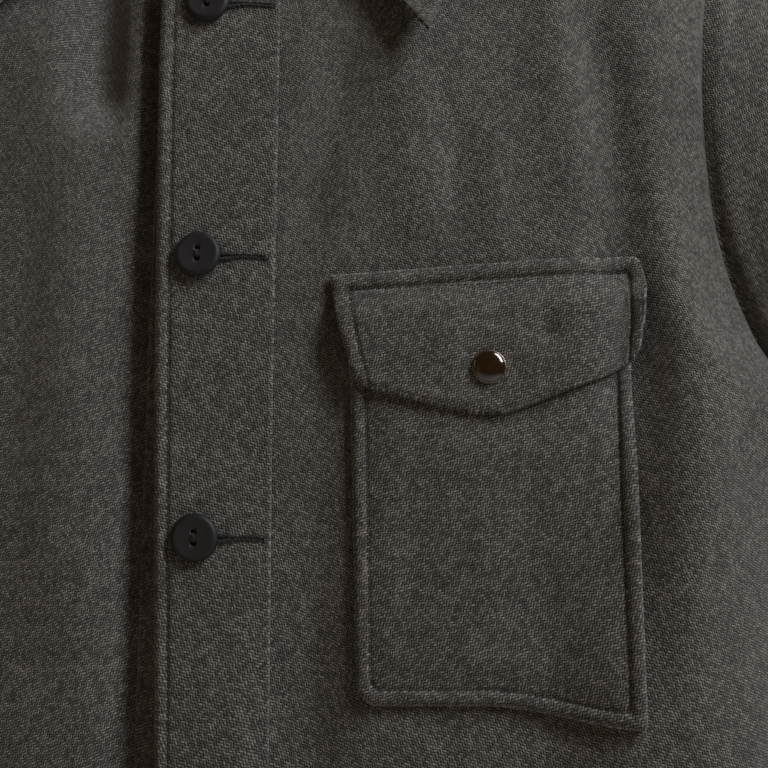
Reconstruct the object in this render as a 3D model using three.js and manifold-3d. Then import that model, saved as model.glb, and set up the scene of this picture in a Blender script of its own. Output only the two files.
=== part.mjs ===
// A wool shirt jacket that hangs buttoned from its shoulders, with one flapped chest pocket.
// Sizes are millimetres. x runs to the wearer's left, y to the back and z up. Shapes are worked
// out from the shoulder's neck ends (z = 0) and the shoulder seams (y = 0), and the whole is then
// moved so that its origin is on the inside of the centre-back neck seam.
import * as THREE from "three";
import Module from "manifold-3d";

const wasm = await Module();
wasm.setup();

// Cloth and seams
const CLOTH = 1.8;
const SEAM = 0.5;
const LAYER_GAP = 0.3;
const INSIDE_TRIANGLE = -1e-9;
const MERGE_STEPS_PER_MM = 1e4;

// Body
const NECK_HALF = 78;
const FRONT_NECK_DROP = 92;
const BACK_NECK_DROP = 18;
const NECK_CURVE = 0.7;
const SHOULDER_HALF = 230;
const SHOULDER_DROP = 62;
const SHOULDER_ROUND = 75;
const UNDERARM_DROP = 292;
const HEM_DROP = 760;
const SIDE_ROUND = 42;
const ARMHOLE_DEPTH = 43;
// The right front's step back under the left one, and the dip beside the placket
const UNDERLAP = { deep: 5.6, startX: -44, long: 30, dipX: -20, dipWide: 8, dipDeep: 3 };

// Half of the body's width, down from the neck
const SIDE = [
  { down: 62, half: 230 },
  { down: 95, half: 222 },
  { down: 135, half: 215 },
  { down: 180, half: 213 },
  { down: 225, half: 219 },
  { down: 262, half: 234 },
  { down: 292, half: 255 },
  { down: 325, half: 247 },
  { down: 420, half: 243 },
  { down: 580, half: 246 },
  { down: 760, half: 254 },
];

// How far the front and the back stand from the shoulder seams' plane
const DEPTH = [
  { down: 0, front: 42, back: 38 },
  { down: 80, front: 47, back: 46 },
  { down: 150, front: 51, back: 51 },
  { down: 300, front: 55, back: 54 },
  { down: 500, front: 54, back: 52 },
  { down: 760, front: 50, back: 47 },
];

// Soft ridges (rise above 0) and troughs, each along a line from its top to its bottom
const LEFT_FOLDS = [
  { topX: 62, topDown: 130, endX: 42, endDown: 235, wide: 9, rise: -2.6 },
  { topX: 84, topDown: 140, endX: 92, endDown: 235, wide: 13, rise: 2.4 },
  { topX: 146, topDown: 90, endX: 163, endDown: 228, wide: 12, rise: 3.4 },
  { topX: 158, topDown: 96, endX: 176, endDown: 330, wide: 14, rise: -6, bow: 8 },
  { topX: 205, topDown: 240, endX: 140, endDown: 600, wide: 24, rise: 10 },
  { topX: 46, topDown: 300, endX: 52, endDown: 900, wide: 13, rise: -5 },
  { topX: 118, topDown: 395, endX: 112, endDown: 900, wide: 15, rise: 7 },
  { topX: 128, topDown: 430, endX: 150, endDown: 900, wide: 15, rise: -7 },
  { topX: 172, topDown: 440, endX: 194, endDown: 900, wide: 17, rise: 8 },
];
const RIGHT_FOLDS = [
  { topX: 52, topDown: 110, endX: 50, endDown: 420, wide: 15, rise: 3 },
  { topX: 84, topDown: 120, endX: 104, endDown: 380, wide: 14, rise: -3 },
  { topX: 150, topDown: 95, endX: 172, endDown: 480, wide: 14, rise: -6 },
  { topX: 128, topDown: 160, endX: 134, endDown: 900, wide: 20, rise: 6 },
  { topX: 72, topDown: 400, endX: 80, endDown: 900, wide: 17, rise: -7 },
  { topX: 172, topDown: 440, endX: 180, endDown: 900, wide: 16, rise: -6 },
];
const BACK_FOLDS = [
  { topX: -168, topDown: 100, endX: -150, endDown: 470, wide: 15, rise: -6 },
  { topX: -110, topDown: 110, endX: -96, endDown: 900, wide: 24, rise: 7 },
  { topX: -46, topDown: 260, endX: -34, endDown: 900, wide: 20, rise: -8 },
  { topX: 22, topDown: 180, endX: 26, endDown: 900, wide: 22, rise: 7 },
  { topX: 84, topDown: 290, endX: 82, endDown: 900, wide: 19, rise: -8 },
  { topX: 128, topDown: 130, endX: 142, endDown: 900, wide: 18, rise: 6 },
  { topX: 172, topDown: 100, endX: 186, endDown: 520, wide: 13, rise: -6 },
];
const FOLD_FADE = 0.22;

// Sections down a sleeve: its outer and inner edge, half its depth and how far it swings forward
const SLEEVE = [
  { outerX: 230, outerDown: 62, innerX: 255, innerDown: 292, half: 43, forward: 0 },
  { outerX: 248, outerDown: 70, innerX: 258, innerDown: 290, half: 46, forward: 0 },
  { outerX: 274, outerDown: 86, innerX: 261.5, innerDown: 290, half: 49, forward: 0 },
  { outerX: 300, outerDown: 109, innerX: 264.5, innerDown: 292, half: 52, forward: 0 },
  { outerX: 323, outerDown: 140, innerX: 267, innerDown: 296, half: 55, forward: 0 },
  { outerX: 343, outerDown: 177, innerX: 269, innerDown: 303, half: 57, forward: 0 },
  { outerX: 359, outerDown: 218, innerX: 271, innerDown: 314, half: 58, forward: 0 },
  { outerX: 371, outerDown: 261, innerX: 274, innerDown: 332, half: 58, forward: 1 },
  { outerX: 381, outerDown: 305, innerX: 277, innerDown: 358, half: 57, forward: 2 },
  { outerX: 389, outerDown: 350, innerX: 280, innerDown: 388, half: 55, forward: 4 },
  { outerX: 396, outerDown: 395, innerX: 284, innerDown: 420, half: 53, forward: 7 },
  { outerX: 402, outerDown: 430, innerX: 290, innerDown: 449, half: 51, forward: 10 },
  { outerX: 407, outerDown: 465, innerX: 297, innerDown: 480, half: 49, forward: 14 },
  { outerX: 412, outerDown: 500, innerX: 305, innerDown: 513, half: 47, forward: 18 },
  { outerX: 417, outerDown: 535, innerX: 314, innerDown: 547, half: 44, forward: 22 },
  { outerX: 421, outerDown: 570, innerX: 322, innerDown: 581, half: 41, forward: 25 },
  { outerX: 425, outerDown: 605, innerX: 329, innerDown: 615, half: 39, forward: 27 },
  { outerX: 429, outerDown: 645, innerX: 335, innerDown: 655, half: 37, forward: 29 },
];
const ARMHOLE_FADE = 4;
// Soft ridges and troughs round a sleeve, by section and by the turn from its outer edge
const SLEEVE_FOLDS = [
  { section: 4, turn: 100, tall: 1.3, round: 55, slant: 1.2, rise: -7 },
  { section: 5.8, turn: 120, tall: 0.9, round: 50, slant: 1.0, rise: 5 },
  { section: 7.6, turn: 140, tall: 0.8, round: 55, slant: 0.8, rise: -6 },
  { section: 4.5, turn: -105, tall: 1.3, round: 55, slant: -1.2, rise: -7 },
  { section: 6.4, turn: -125, tall: 0.9, round: 50, slant: -0.9, rise: 5 },
  { section: 10, turn: 75, tall: 0.8, round: 60, slant: -0.7, rise: -5 },
  { section: 11.6, turn: 60, tall: 0.7, round: 60, slant: -0.6, rise: 4 },
  { section: 13, turn: 90, tall: 0.7, round: 55, slant: 0.6, rise: -4.5 },
  { section: 10.8, turn: -70, tall: 0.8, round: 55, slant: 0.6, rise: -4.5 },
  { section: 14, turn: -100, tall: 0.8, round: 60, slant: 0.5, rise: -4 },
];

// Collar
const STAND_CLOTH = 2.4;
const STAND_FRONT = 27;
const STAND_BACK = 33;
const STAND_FRONT_LEAN = 20;
const STAND_BACK_LEAN = 5;
const NECK_FRONT_DEPTH = 48;
const NECK_BACK_DEPTH = 25;
const LEAF_CLOTH = 2.6;
const LEAF_START = 5;
const LEAF_CLEAR = 4.9;
const LEAF_STEPS = 9;
const LEAF_TURN_STEP = 12.5;
// The leaf's roll over the stand: how far out and how far up each of its points is
const LEAF_ROLL = [
  { out: 0, up: 1.4 },
  { out: 0.8, up: 4.6 },
  { out: 5, up: 7 },
  { out: 10, up: 3.2 },
];
// Between the roll and the edge: the share of the way, the clearance above the least, and how far
// the leaf's front end swings outwards
const LEAF_FALL = [
  { share: 0.33, spare: 1.5, bulge: 0, swing: 4 },
  { share: 0.66, spare: 0.8, bulge: 2.5, swing: 7 },
];
const LEAF_BULGE_TURN = { from: 70, to: 30 };
// The leaf's lower edge by the turn round the neck from the front, and how far it stands off
const LEAF_EDGE = [
  { turn: 9, x: 94, down: 137.5, lift: 9 },
  { turn: 30, x: 101, down: 121, lift: 7.5 },
  { turn: 50, x: 110, down: 90, lift: 5 },
  { turn: 70, x: 120, down: 52, lift: 5 },
  { turn: 90, x: 127, down: 19.99, lift: 5 },
  { turn: 110, x: 119, down: 29, lift: 5 },
  { turn: 135, x: 84, down: 29, lift: 5 },
  { turn: 160, x: 42, down: 30, lift: 5 },
  { turn: 180, x: 0, down: 31, lift: 5 },
];

// Front bands and buttons
const PLACKET_CLOTH = 1.6;
const BAND_CLOTH = 1.4;
const BUTTON_DOWN = [122.1, 233.6, 346.5, 459, 571, 683];
const BUTTON_RADIUS = 9.4;
const BUTTON_THICK = 3.2;
const BUTTON_DISH = 0.6;
const BUTTON_SIDES = 12;
const BUTTON_HOLE = { radius: 1.05, apart: 4.2, sides: 6 };
const BUTTON_GAP = 0.4;

// Chest pocket: a patch with a raised seam band inside its edge
const POCKET = { left: 62.5, right: 174.5, mouthDown: 264, leftDown: 409.5, rightDown: 417 };
const POCKET_SAG_START = 0.45;
const POCKET_GAP = 0.85;
const POCKET_CLOTH = 1.7;
const POCKET_CORNER = 7;
const POCKET_BAND = 5.6;
// The pocket's height from its edge inwards: raised band, stitched groove, full middle
const POCKET_SECTION = [
  { inside: 0, high: 2.6 },
  { inside: 1.6, high: 3.5 },
  { inside: 4, high: 3.5 },
  { inside: POCKET_BAND, high: 2.5 },
  { inside: 8, high: 2.9 },
  { inside: 14, high: 3.9 },
];
const POCKET_MIDDLE = { margin: 24, columns: 5, rows: 7 };
const POCKET_MOUTH = { high: 2.7, from: 4, long: 22 };
const POCKET_FREE_LONG = 6;

// The flap's outline, and how it climbs over the pocket
const FLAP = {
  topLeftX: 55.1, topLeftDown: 242.3, topRightX: 181.5, topRightDown: 232.4,
  lowLeftX: 63.7, lowLeftDown: 286.2, lowRightX: 181.7, lowRightDown: 275.2,
  tipX: 119, tipDown: 300.2,
};
const FLAP_CLOTH = 2.3;
const FLAP_RISE = 4.2;
const FLAP_RISE_START = 6;
const FLAP_RISE_LONG = 14;
const FLAP_CORNER = 7;
const FLAP_LEFT_BOW = 1.2;
const FLAP_RIGHT_BOW = 2.4;
const FLAP_TIP_SOFT = 3;
const FLAP_RIM_THIN = 0.7;
const FLAP_ACROSS = [0, 0.03, 0.07, 0.14, 0.23, 0.33, 0.43, 0.52, 0.61, 0.7, 0.8, 0.88, 0.93, 0.965, 1];
const FLAP_DOWNWARD = [0, 0.06, 0.14, 0.25, 0.4, 0.6, 0.8, 0.94, 1];
const SNAP = { x: 117.4, down: 280.2, radius: 6.6, high: 3, sides: 16 };

// Rows down a panel, and the columns that round its side
const ARMHOLE_ROWS = 10;
const LOWER_ROWS = 8;
const FLAT_HALF = 150;
const SIDE_STEPS = 7;
const SPREAD_DOWN = 120;

// Columns across half of a panel: where each meets the neckline or shoulder, and where it hangs
const LEFT_COLUMNS = [
  { top: -14.5, low: -14.5 },
  { top: -1, low: -1 },
  { top: 12, low: 12 },
  { top: 22.5, low: 22.5 },
  { top: 33, low: 33 },
  { top: 48, low: 43 },
  { top: 59.8, low: 53 },
  { top: 69.5, low: 63 },
  { top: 75.7, low: 73 },
  { top: 77.4, low: 83 },
  { top: 78, low: 93 },
  { top: 92.4, low: 104.4 },
  { top: 106.8, low: 115.8 },
  { top: 121.2, low: 127.2 },
  { top: 135.6, low: 138.6 },
  { top: 150, low: 150 },
];
const RIGHT_COLUMNS = [
  { top: -27, low: -27 },
  { top: -13.5, low: -13.5 },
  { top: 0, low: 0 },
  { top: 12, low: 12 },
  { top: 20, low: 20 },
  { top: 33, low: 29 },
  { top: 48, low: 38 },
  { top: 59.8, low: 49 },
  { top: 69.5, low: 60 },
  { top: 75.7, low: 71 },
  { top: 77.4, low: 82 },
  { top: 78, low: 93 },
  { top: 92.4, low: 104.4 },
  { top: 106.8, low: 115.8 },
  { top: 121.2, low: 127.2 },
  { top: 135.6, low: 138.6 },
  { top: 150, low: 150 },
];
const BACK_COLUMNS = [
  { top: 0, low: 0 },
  { top: 20, low: 16 },
  { top: 39, low: 32 },
  { top: 55, low: 47 },
  { top: 67.5, low: 62 },
  { top: 75.3, low: 77 },
  { top: 78, low: 91 },
  { top: 102, low: 110 },
  { top: 126, low: 130 },
  { top: 150, low: 150 },
];
const PLACKET_COLUMNS = 4;
const BAND_COLUMNS = 4;

const WOOL = { color: 0x45423d, roughness: 0.95, metalness: 0 };
const BUTTON_FINISH = { color: 0x232125, roughness: 0.5, metalness: 0 };
const SNAP_FINISH = { color: 0x1a1009, roughness: 0.12, metalness: 0 };

const clamp = (t) => Math.min(1, Math.max(0, t));
const smooth = (t) => clamp(t) ** 2 * (3 - 2 * clamp(t));
const mix = (a, b, t) => a + (b - a) * t;
const radians = THREE.MathUtils.degToRad;
const evenly = (first, last, count) =>
  Array.from({ length: count + 1 }, (_, n) => mix(first, last, n / count));
const at = (x, y, z) => new THREE.Vector3(x, y, z);

// The value of a table's column at a key, on a smooth curve through the rows.
function along(table, key, value, column) {
  const last = table.length - 1;
  if (value <= table[0][key]) return table[0][column];
  if (value >= table[last][key]) return table[last][column];
  const i = table.findIndex((row, n) => n < last && value < table[n + 1][key]);
  const slope = (n) => {
    const before = table[Math.max(0, n - 1)];
    const after = table[Math.min(last, n + 1)];
    return (after[column] - before[column]) / (after[key] - before[key]);
  };
  const span = table[i + 1][key] - table[i][key];
  const t = (value - table[i][key]) / span;
  return (
    (2 * t ** 3 - 3 * t ** 2 + 1) * table[i][column] +
    (t ** 3 - 2 * t ** 2 + t) * span * slope(i) +
    (3 * t ** 2 - 2 * t ** 3) * table[i + 1][column] +
    (t ** 3 - t ** 2) * span * slope(i + 1)
  );
}

// The body

const SHOULDER_SLOPE = SHOULDER_DROP / (SHOULDER_HALF - NECK_HALF);
const ARMHOLE_MIDDLE = (SHOULDER_DROP + UNDERARM_DROP) / 2;
const ARMHOLE_HALF = (UNDERARM_DROP - SHOULDER_DROP) / 2;

// How far down the shoulder line is.
function shoulderDown(x) {
  return SHOULDER_SLOPE * Math.max(0, Math.abs(x) - NECK_HALF);
}

// How far down a panel's top is: the neckline, then the shoulder seam.
function topDown(face, x) {
  if (Math.abs(x) >= NECK_HALF) return shoulderDown(x);
  const drop = face === "front" ? FRONT_NECK_DROP : BACK_NECK_DROP;
  return drop * (1 - (x / NECK_HALF) ** 2) ** NECK_CURVE;
}

// How far the armhole's edge stands from the shoulder seams' plane.
function armholeReach(down) {
  const t = (down - ARMHOLE_MIDDLE) / ARMHOLE_HALF;
  return ARMHOLE_DEPTH * Math.sqrt(Math.max(0, 1 - t * t));
}

// The height of all the folds in a list at a place on a panel.
function folds(list, x, down) {
  let sum = 0;
  for (const f of list) {
    const t = (down - f.topDown) / (f.endDown - f.topDown);
    if (t <= 0 || t >= 1) continue;
    const line = mix(f.topX, f.endX, t) + 4 * (f.bow ?? 0) * t * (1 - t);
    const off = (x - line) / f.wide;
    sum += f.rise * Math.exp(-off * off) * smooth(t / FOLD_FADE) * smooth((1 - t) / FOLD_FADE);
  }
  return sum;
}

// How far the right front lies behind the left one near their overlap.
function underlap(x) {
  const { deep, startX, long, dipX, dipWide, dipDeep } = UNDERLAP;
  return deep * smooth((x - startX) / long) + dipDeep * Math.exp(-(((x - dipX) / dipWide) ** 2));
}

// How far a panel's outer surface stands from the shoulder seams' plane.
function bodyReach(panel, x, down) {
  const face = panel === "back" ? "back" : "front";
  const high = clamp((down - shoulderDown(x)) / SHOULDER_ROUND);
  const full = along(DEPTH, "down", down, face) * Math.sqrt(1 - (1 - high) ** 2);
  const edge = armholeReach(down);
  const e = clamp((along(SIDE, "down", down, "half") - Math.abs(x)) / SIDE_ROUND);
  const tight = down > ARMHOLE_MIDDLE ? 1 - edge / ARMHOLE_DEPTH : 0;
  const side = mix(Math.sin((e * Math.PI) / 2), Math.sqrt(1 - (1 - e) ** 2), tight);
  let reach = edge + (full - edge) * side;
  const list = { left: LEFT_FOLDS, right: RIGHT_FOLDS, back: BACK_FOLDS }[panel];
  const hold = smooth(e) * smooth((down - shoulderDown(x)) / SHOULDER_ROUND);
  reach += hold * folds(list, panel === "right" ? -x : x, down);
  if (panel === "right") reach -= underlap(x);
  return Math.max(reach, SEAM / 2);
}

function bodyPoint(panel, x, down) {
  const reach = bodyReach(panel, x, down);
  return at(x, panel === "back" ? reach : -reach, -down);
}

// The outward direction of a panel, away from its sides.
function bodyNormal(panel, x, down) {
  const step = 0.5;
  const across = bodyPoint(panel, x + step, down).sub(bodyPoint(panel, x - step, down));
  const upwards = bodyPoint(panel, x, down - step).sub(bodyPoint(panel, x, down + step));
  const n = across.cross(upwards).normalize();
  return panel === "back" ? n.negate() : n;
}

// The outward direction near the shoulder line, where the panels turn over it.
function shoulderNormal(face, x, down) {
  const high = (down - shoulderDown(x)) / SHOULDER_ROUND;
  if (high >= 1) return at(0, face === "front" ? -1 : 1, 0);
  const depth = along(DEPTH, "down", down, face);
  const out = Math.sqrt(1 - (1 - clamp(high)) ** 2) / depth;
  const up = (1 - clamp(high)) / SHOULDER_ROUND;
  return at(SHOULDER_SLOPE * up * Math.sign(x), face === "front" ? -out : out, up).normalize();
}

// Walls: a grid of outer points and one of inner points make one closed solid

function gridNormals(grid, closed) {
  const last = grid.length - 1;
  return grid.map((line, i) =>
    line.map((_, j) => {
      const before = closed ? grid[(i + last) % (last + 1)] : grid[Math.max(0, i - 1)];
      const after = closed ? grid[(i + 1) % (last + 1)] : grid[Math.min(last, i + 1)];
      const across = after[j].clone().sub(before[j]);
      const down = line[Math.min(line.length - 1, j + 1)].clone().sub(line[Math.max(0, j - 1)]);
      return across.cross(down).normalize();
    }),
  );
}

// A closed solid between two grids. When closed is true, the last line joins the first.
function wall(outer, inner, closed = false) {
  const lines = outer.length;
  const rows = outer[0].length;
  const place = (side, i, j) => side * lines * rows + (i % lines) * rows + j;
  const points = [...outer.flat(), ...inner.flat()].flatMap((p) => [p.x, p.y, p.z]);
  const faces = [];
  const quad = (a, b, c, d) => faces.push(a, b, c, a, c, d);
  const spans = closed ? lines : lines - 1;
  for (let i = 0; i < spans; i += 1) {
    for (let j = 0; j < rows - 1; j += 1) {
      quad(place(0, i, j), place(0, i, j + 1), place(0, i + 1, j + 1), place(0, i + 1, j));
      quad(place(1, i, j), place(1, i + 1, j), place(1, i + 1, j + 1), place(1, i, j + 1));
    }
    quad(place(0, i, 0), place(0, i + 1, 0), place(1, i + 1, 0), place(1, i, 0));
    const j = rows - 1;
    quad(place(0, i, j), place(1, i, j), place(1, i + 1, j), place(0, i + 1, j));
  }
  for (let j = 0; j < rows - 1 && !closed; j += 1) {
    const i = spans;
    quad(place(0, 0, j), place(1, 0, j), place(1, 0, j + 1), place(0, 0, j + 1));
    quad(place(0, i, j), place(0, i, j + 1), place(1, i, j + 1), place(1, i, j));
  }
  return facingOut(points, faces);
}

function facingOut(points, faces) {
  let volume = 0;
  const corner = (n) => at(points[3 * n], points[3 * n + 1], points[3 * n + 2]);
  for (let n = 0; n < faces.length; n += 3) {
    const [a, b, c] = [corner(faces[n]), corner(faces[n + 1]), corner(faces[n + 2])];
    volume += a.dot(b.cross(c));
  }
  if (volume < 0) faces.reverse();
  const geometry = new THREE.BufferGeometry();
  geometry.setAttribute("position", new THREE.Float32BufferAttribute(points, 3));
  geometry.setIndex(faces);
  return geometry;
}

// The inner grid of a wall whose outer normals are known.
function inwards(outer, normals, thick) {
  return outer.map((line, i) =>
    line.map((p, j) => p.clone().addScaledVector(normals[i][j], -thick)),
  );
}

// Panels

// How far down each row of a panel's side edge is: even turns round the armhole, then even steps.
function sideRows() {
  const rows = [];
  for (let n = 0; n <= ARMHOLE_ROWS; n += 1) {
    rows.push(ARMHOLE_MIDDLE - ARMHOLE_HALF * Math.cos((Math.PI * n) / ARMHOLE_ROWS));
  }
  for (let n = 1; n <= LOWER_ROWS; n += 1) {
    rows.push(mix(UNDERARM_DROP, HEM_DROP, n / LOWER_ROWS));
  }
  return rows;
}

// The points down one column of a panel. place gives x from how far down it is.
function column(panel, topX, place) {
  const rows = sideRows();
  const top = topDown(panel === "back" ? "back" : "front", topX);
  return rows.map((rowDown) => {
    const share = (rowDown - rows[0]) / (HEM_DROP - rows[0]);
    const down = mix(top, HEM_DROP, share);
    return bodyPoint(panel, place(down, top), down);
  });
}

// The columns across half of a panel, on the side that sign gives.
function halfColumns(panel, table, sign) {
  const hanging = table.map(({ top, low }) => {
    const place = (down, from) => sign * mix(top, low, smooth((down - from) / SPREAD_DOWN));
    return column(panel, sign * top, place);
  });
  const rounded = Array.from({ length: SIDE_STEPS }, (_, n) => {
    const share = Math.sin((Math.PI / 2) * ((n + 1) / SIDE_STEPS));
    const place = (down) => sign * mix(FLAT_HALF, along(SIDE, "down", down, "half"), share);
    return column(panel, sign * mix(FLAT_HALF, SHOULDER_HALF, share), place);
  });
  return [...hanging, ...rounded];
}

// A panel's outer grid and its outward directions, which stay in the plane of its seams.
function panelGrid(panel) {
  const grid = {
    left: () => halfColumns(panel, LEFT_COLUMNS, 1),
    right: () => halfColumns(panel, RIGHT_COLUMNS, -1),
    back: () => [
      ...halfColumns(panel, BACK_COLUMNS, -1).slice(1).reverse(),
      ...halfColumns(panel, BACK_COLUMNS, 1),
    ],
  }[panel]();
  const normals = gridNormals(grid, false);
  const outward = panel === "back" ? 1 : -1;
  const middle = normals[Math.floor(grid.length / 2)][ARMHOLE_ROWS];
  if (middle.y * outward < 0) normals.flat().forEach((n) => n.negate());
  grid.forEach((line, i) =>
    line.forEach((p, j) => {
      const atSide = i === grid.length - 1 || (panel === "back" && i === 0);
      const onSeam = (j === 0 && Math.abs(p.x) >= NECK_HALF) || (atSide && j >= ARMHOLE_ROWS);
      if (onSeam) normals[i][j].setY(0).normalize();
    }),
  );
  return { grid, normals };
}

const panels = { left: panelGrid("left"), right: panelGrid("right"), back: panelGrid("back") };

function panelWall(panel) {
  const { grid, normals } = panels[panel];
  return wall(grid, inwards(grid, normals, CLOTH));
}

// The shares of a triangle's corners at a place, all from 0 to 1 when the place is inside it.
function cornerShares(corners, x, down) {
  const [a, b, c] = corners;
  const area = (b.x - a.x) * (c.z - a.z) - (c.x - a.x) * (b.z - a.z);
  const ofB = ((x - a.x) * (c.z - a.z) - (c.x - a.x) * (-down - a.z)) / area;
  const ofC = ((b.x - a.x) * (-down - a.z) - (x - a.x) * (b.z - a.z)) / area;
  return [1 - ofB - ofC, ofB, ofC];
}

// A point that stands off a panel's facets, for what lies on it.
function onPanel(panel, x, down, high) {
  const { grid, normals } = panels[panel];
  for (let i = 0; i < grid.length - 1; i += 1) {
    for (let j = 0; j < grid[0].length - 1; j += 1) {
      for (const middle of [[i, j + 1], [i + 1, j]]) {
        const places = [[i, j], middle, [i + 1, j + 1]];
        const shares = cornerShares(places.map(([m, n]) => grid[m][n]), x, down);
        if (Math.min(...shares) < INSIDE_TRIANGLE) continue;
        const point = at(0, 0, 0);
        const normal = at(0, 0, 0);
        places.forEach(([m, n], k) => {
          point.addScaledVector(grid[m][n], shares[k]);
          normal.addScaledVector(normals[m][n], shares[k]);
        });
        return point.addScaledVector(normal.normalize(), high);
      }
    }
  }
  throw new Error(`no place on the ${panel} panel at ${x}, ${down}`);
}

// Sleeves

// The armhole's edge as a ring from the shoulder, down the front and up the back, for a left
// sleeve. A right sleeve is worked out as a left one and mirrored.
function armholeRing(side) {
  const edge = (panel, line, row, share) => {
    const { grid, normals } = panels[panel];
    const mirror = at(side, 1, 1);
    const point = grid[line][row].clone().multiply(mirror);
    const normal = normals[line][row].clone().multiply(mirror);
    return { point, normal, share };
  };
  const front = side > 0 ? "left" : "right";
  const frontLast = panels[front].grid.length - 1;
  const backLast = side > 0 ? panels.back.grid.length - 1 : 0;
  const ring = [];
  for (let n = 0; n <= ARMHOLE_ROWS; n += 1) {
    ring.push(edge(front, frontLast, n, n / ARMHOLE_ROWS));
  }
  for (let n = ARMHOLE_ROWS - 1; n > 0; n -= 1) {
    ring.push(edge("back", backLast, n, 2 - n / ARMHOLE_ROWS));
  }
  ring[0].point.y = 0;
  ring[ARMHOLE_ROWS].point.y = 0;
  return ring.map((place, i) => {
    const before = ring[(i + ring.length - 1) % ring.length].point;
    const after = ring[(i + 1) % ring.length].point;
    const away = place.normal.clone().cross(after.clone().sub(before)).normalize();
    return { ...place, away };
  });
}

function sleeveFold(section, turn) {
  let sum = 0;
  for (const f of SLEEVE_FOLDS) {
    const round = (turn - f.turn) / f.round;
    const tall = (section - f.section - f.slant * round) / f.tall;
    sum += f.rise * Math.exp(-tall * tall - round * round);
  }
  return sum * smooth((section - 1) / 3) * smooth((SLEEVE.length - 1 - section) / 2);
}

const SLEEVE_TABLE = SLEEVE.map((row, section) => ({ ...row, section }));

// A point of a sleeve's section. turn runs from its outer edge to its front and inner edge.
function sleevePoint(section, turn, puff = 0) {
  const { outerX, outerDown, innerX, innerDown, half, forward } = SLEEVE_TABLE[section];
  const outer = at(outerX, -forward, -outerDown);
  const inner = at(innerX, -forward, -innerDown);
  const middle = outer.clone().add(inner).multiplyScalar(0.5);
  const reach = outer.clone().sub(middle);
  const long = reach.length() + puff;
  const a = radians(turn);
  return middle
    .addScaledVector(reach.normalize(), long * Math.cos(a))
    .add(at(0, -(half + puff) * Math.sin(a), 0));
}

function sleeveWall(side) {
  const ring = armholeRing(side);
  const lines = ring.map(({ point, away, share }) => {
    const turn = 180 * share;
    const signed = turn > 180 ? turn - 360 : turn;
    const start = point.clone().addScaledVector(away, SEAM);
    const shift = start.clone().sub(sleevePoint(0, turn));
    return SLEEVE.map((_, section) => {
      const keep = smooth(1 - section / ARMHOLE_FADE);
      return sleevePoint(section, turn, sleeveFold(section, signed)).addScaledVector(shift, keep);
    });
  });
  const normals = gridNormals(lines, true);
  const outward = normals[0][SLEEVE.length - 1].x < 0 ? -1 : 1;
  normals.flat().forEach((n) => n.multiplyScalar(outward));
  ring.forEach(({ normal }, i) => normals[i][0].copy(normal));
  const inner = inwards(lines, normals, CLOTH);
  [...lines.flat(), ...inner.flat()].forEach((p) => p.multiply(at(side, 1, 1)));
  return wall(lines, inner, true);
}

// Collar

// The neckline as a ring, from the left front's edge round the back to the right front's edge.
function neckRing() {
  const tops = (panel) =>
    panels[panel].grid.map((line) => line[0]).filter((p) => Math.abs(p.x) <= NECK_HALF);
  const left = tops("left").slice(0, -1);
  const back = tops("back").reverse();
  const right = tops("right").slice(0, -1).reverse();
  return [
    ...left.map((point) => neckPlace(point, 1)),
    ...back.map((point) => neckPlace(point, Math.sign(point.x))),
    ...right.map((point) => neckPlace(point, -1)),
  ];
}

function neckPlace(point, side) {
  const deep = point.y < 0 ? NECK_FRONT_DEPTH : NECK_BACK_DEPTH;
  const out = at(point.x / NECK_HALF ** 2, point.y / deep ** 2, 0).normalize();
  const turn = Math.atan2(Math.abs(point.x) / NECK_HALF, -point.y / deep);
  return { point, side, out, fromFront: THREE.MathUtils.radToDeg(turn) };
}

// A point of the stand's outer surface, at a share of its height.
function standPoint({ point, out, fromFront }, share) {
  const back = smooth(fromFront / 180);
  const high = mix(STAND_FRONT, STAND_BACK, back) * share;
  const lean = radians(mix(STAND_FRONT_LEAN, STAND_BACK_LEAN, back));
  return point
    .clone()
    .add(at(0, 0, SEAM + high * Math.cos(lean)))
    .addScaledVector(out, -high * Math.sin(lean));
}

function collarStand() {
  const ring = neckRing();
  const outer = ring.map((place) => [0, 0.5, 1].map((share) => standPoint(place, share)));
  const inner = ring.map(({ out }, i) =>
    outer[i].map((p) => p.clone().addScaledVector(out, -STAND_CLOTH)),
  );
  return wall(outer, inner);
}

// The leaf's lower edge, standing off the body.
function leafEdge({ fromFront, side }) {
  const value = (name) => along(LEAF_EDGE, "turn", fromFront, name);
  const face = fromFront < 90 ? "front" : "back";
  const x = value("x");
  const down = Math.max(value("down"), shoulderDown(x));
  const high = clamp((down - shoulderDown(x)) / SHOULDER_ROUND);
  const reach = along(DEPTH, "down", down, face) * Math.sqrt(1 - (1 - high) ** 2);
  return at(x, face === "front" ? -reach : reach, -down)
    .addScaledVector(shoulderNormal(face, x, down), value("lift"))
    .multiply(at(side, 1, 1));
}

// Moves a point outwards where it is nearer to the body than clear.
function liftOffBody(p, clear) {
  const face = p.y < 0 ? "front" : "back";
  const middle = shoulderDown(p.x) + SHOULDER_ROUND;
  const depth = along(DEPTH, "down", -p.z, face);
  const turn = Math.atan2(Math.max(0, middle + p.z) / SHOULDER_ROUND, Math.abs(p.y) / depth);
  const down = p.z > -middle ? middle - SHOULDER_ROUND * Math.sin(turn) : -p.z;
  const reach = depth * Math.cos(turn);
  const surface = at(p.x, face === "front" ? -reach : reach, -down);
  const normal = shoulderNormal(face, p.x, down);
  const off = p.clone().sub(surface).dot(normal);
  return off < clear ? p.addScaledVector(normal, clear - off) : p;
}

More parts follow.
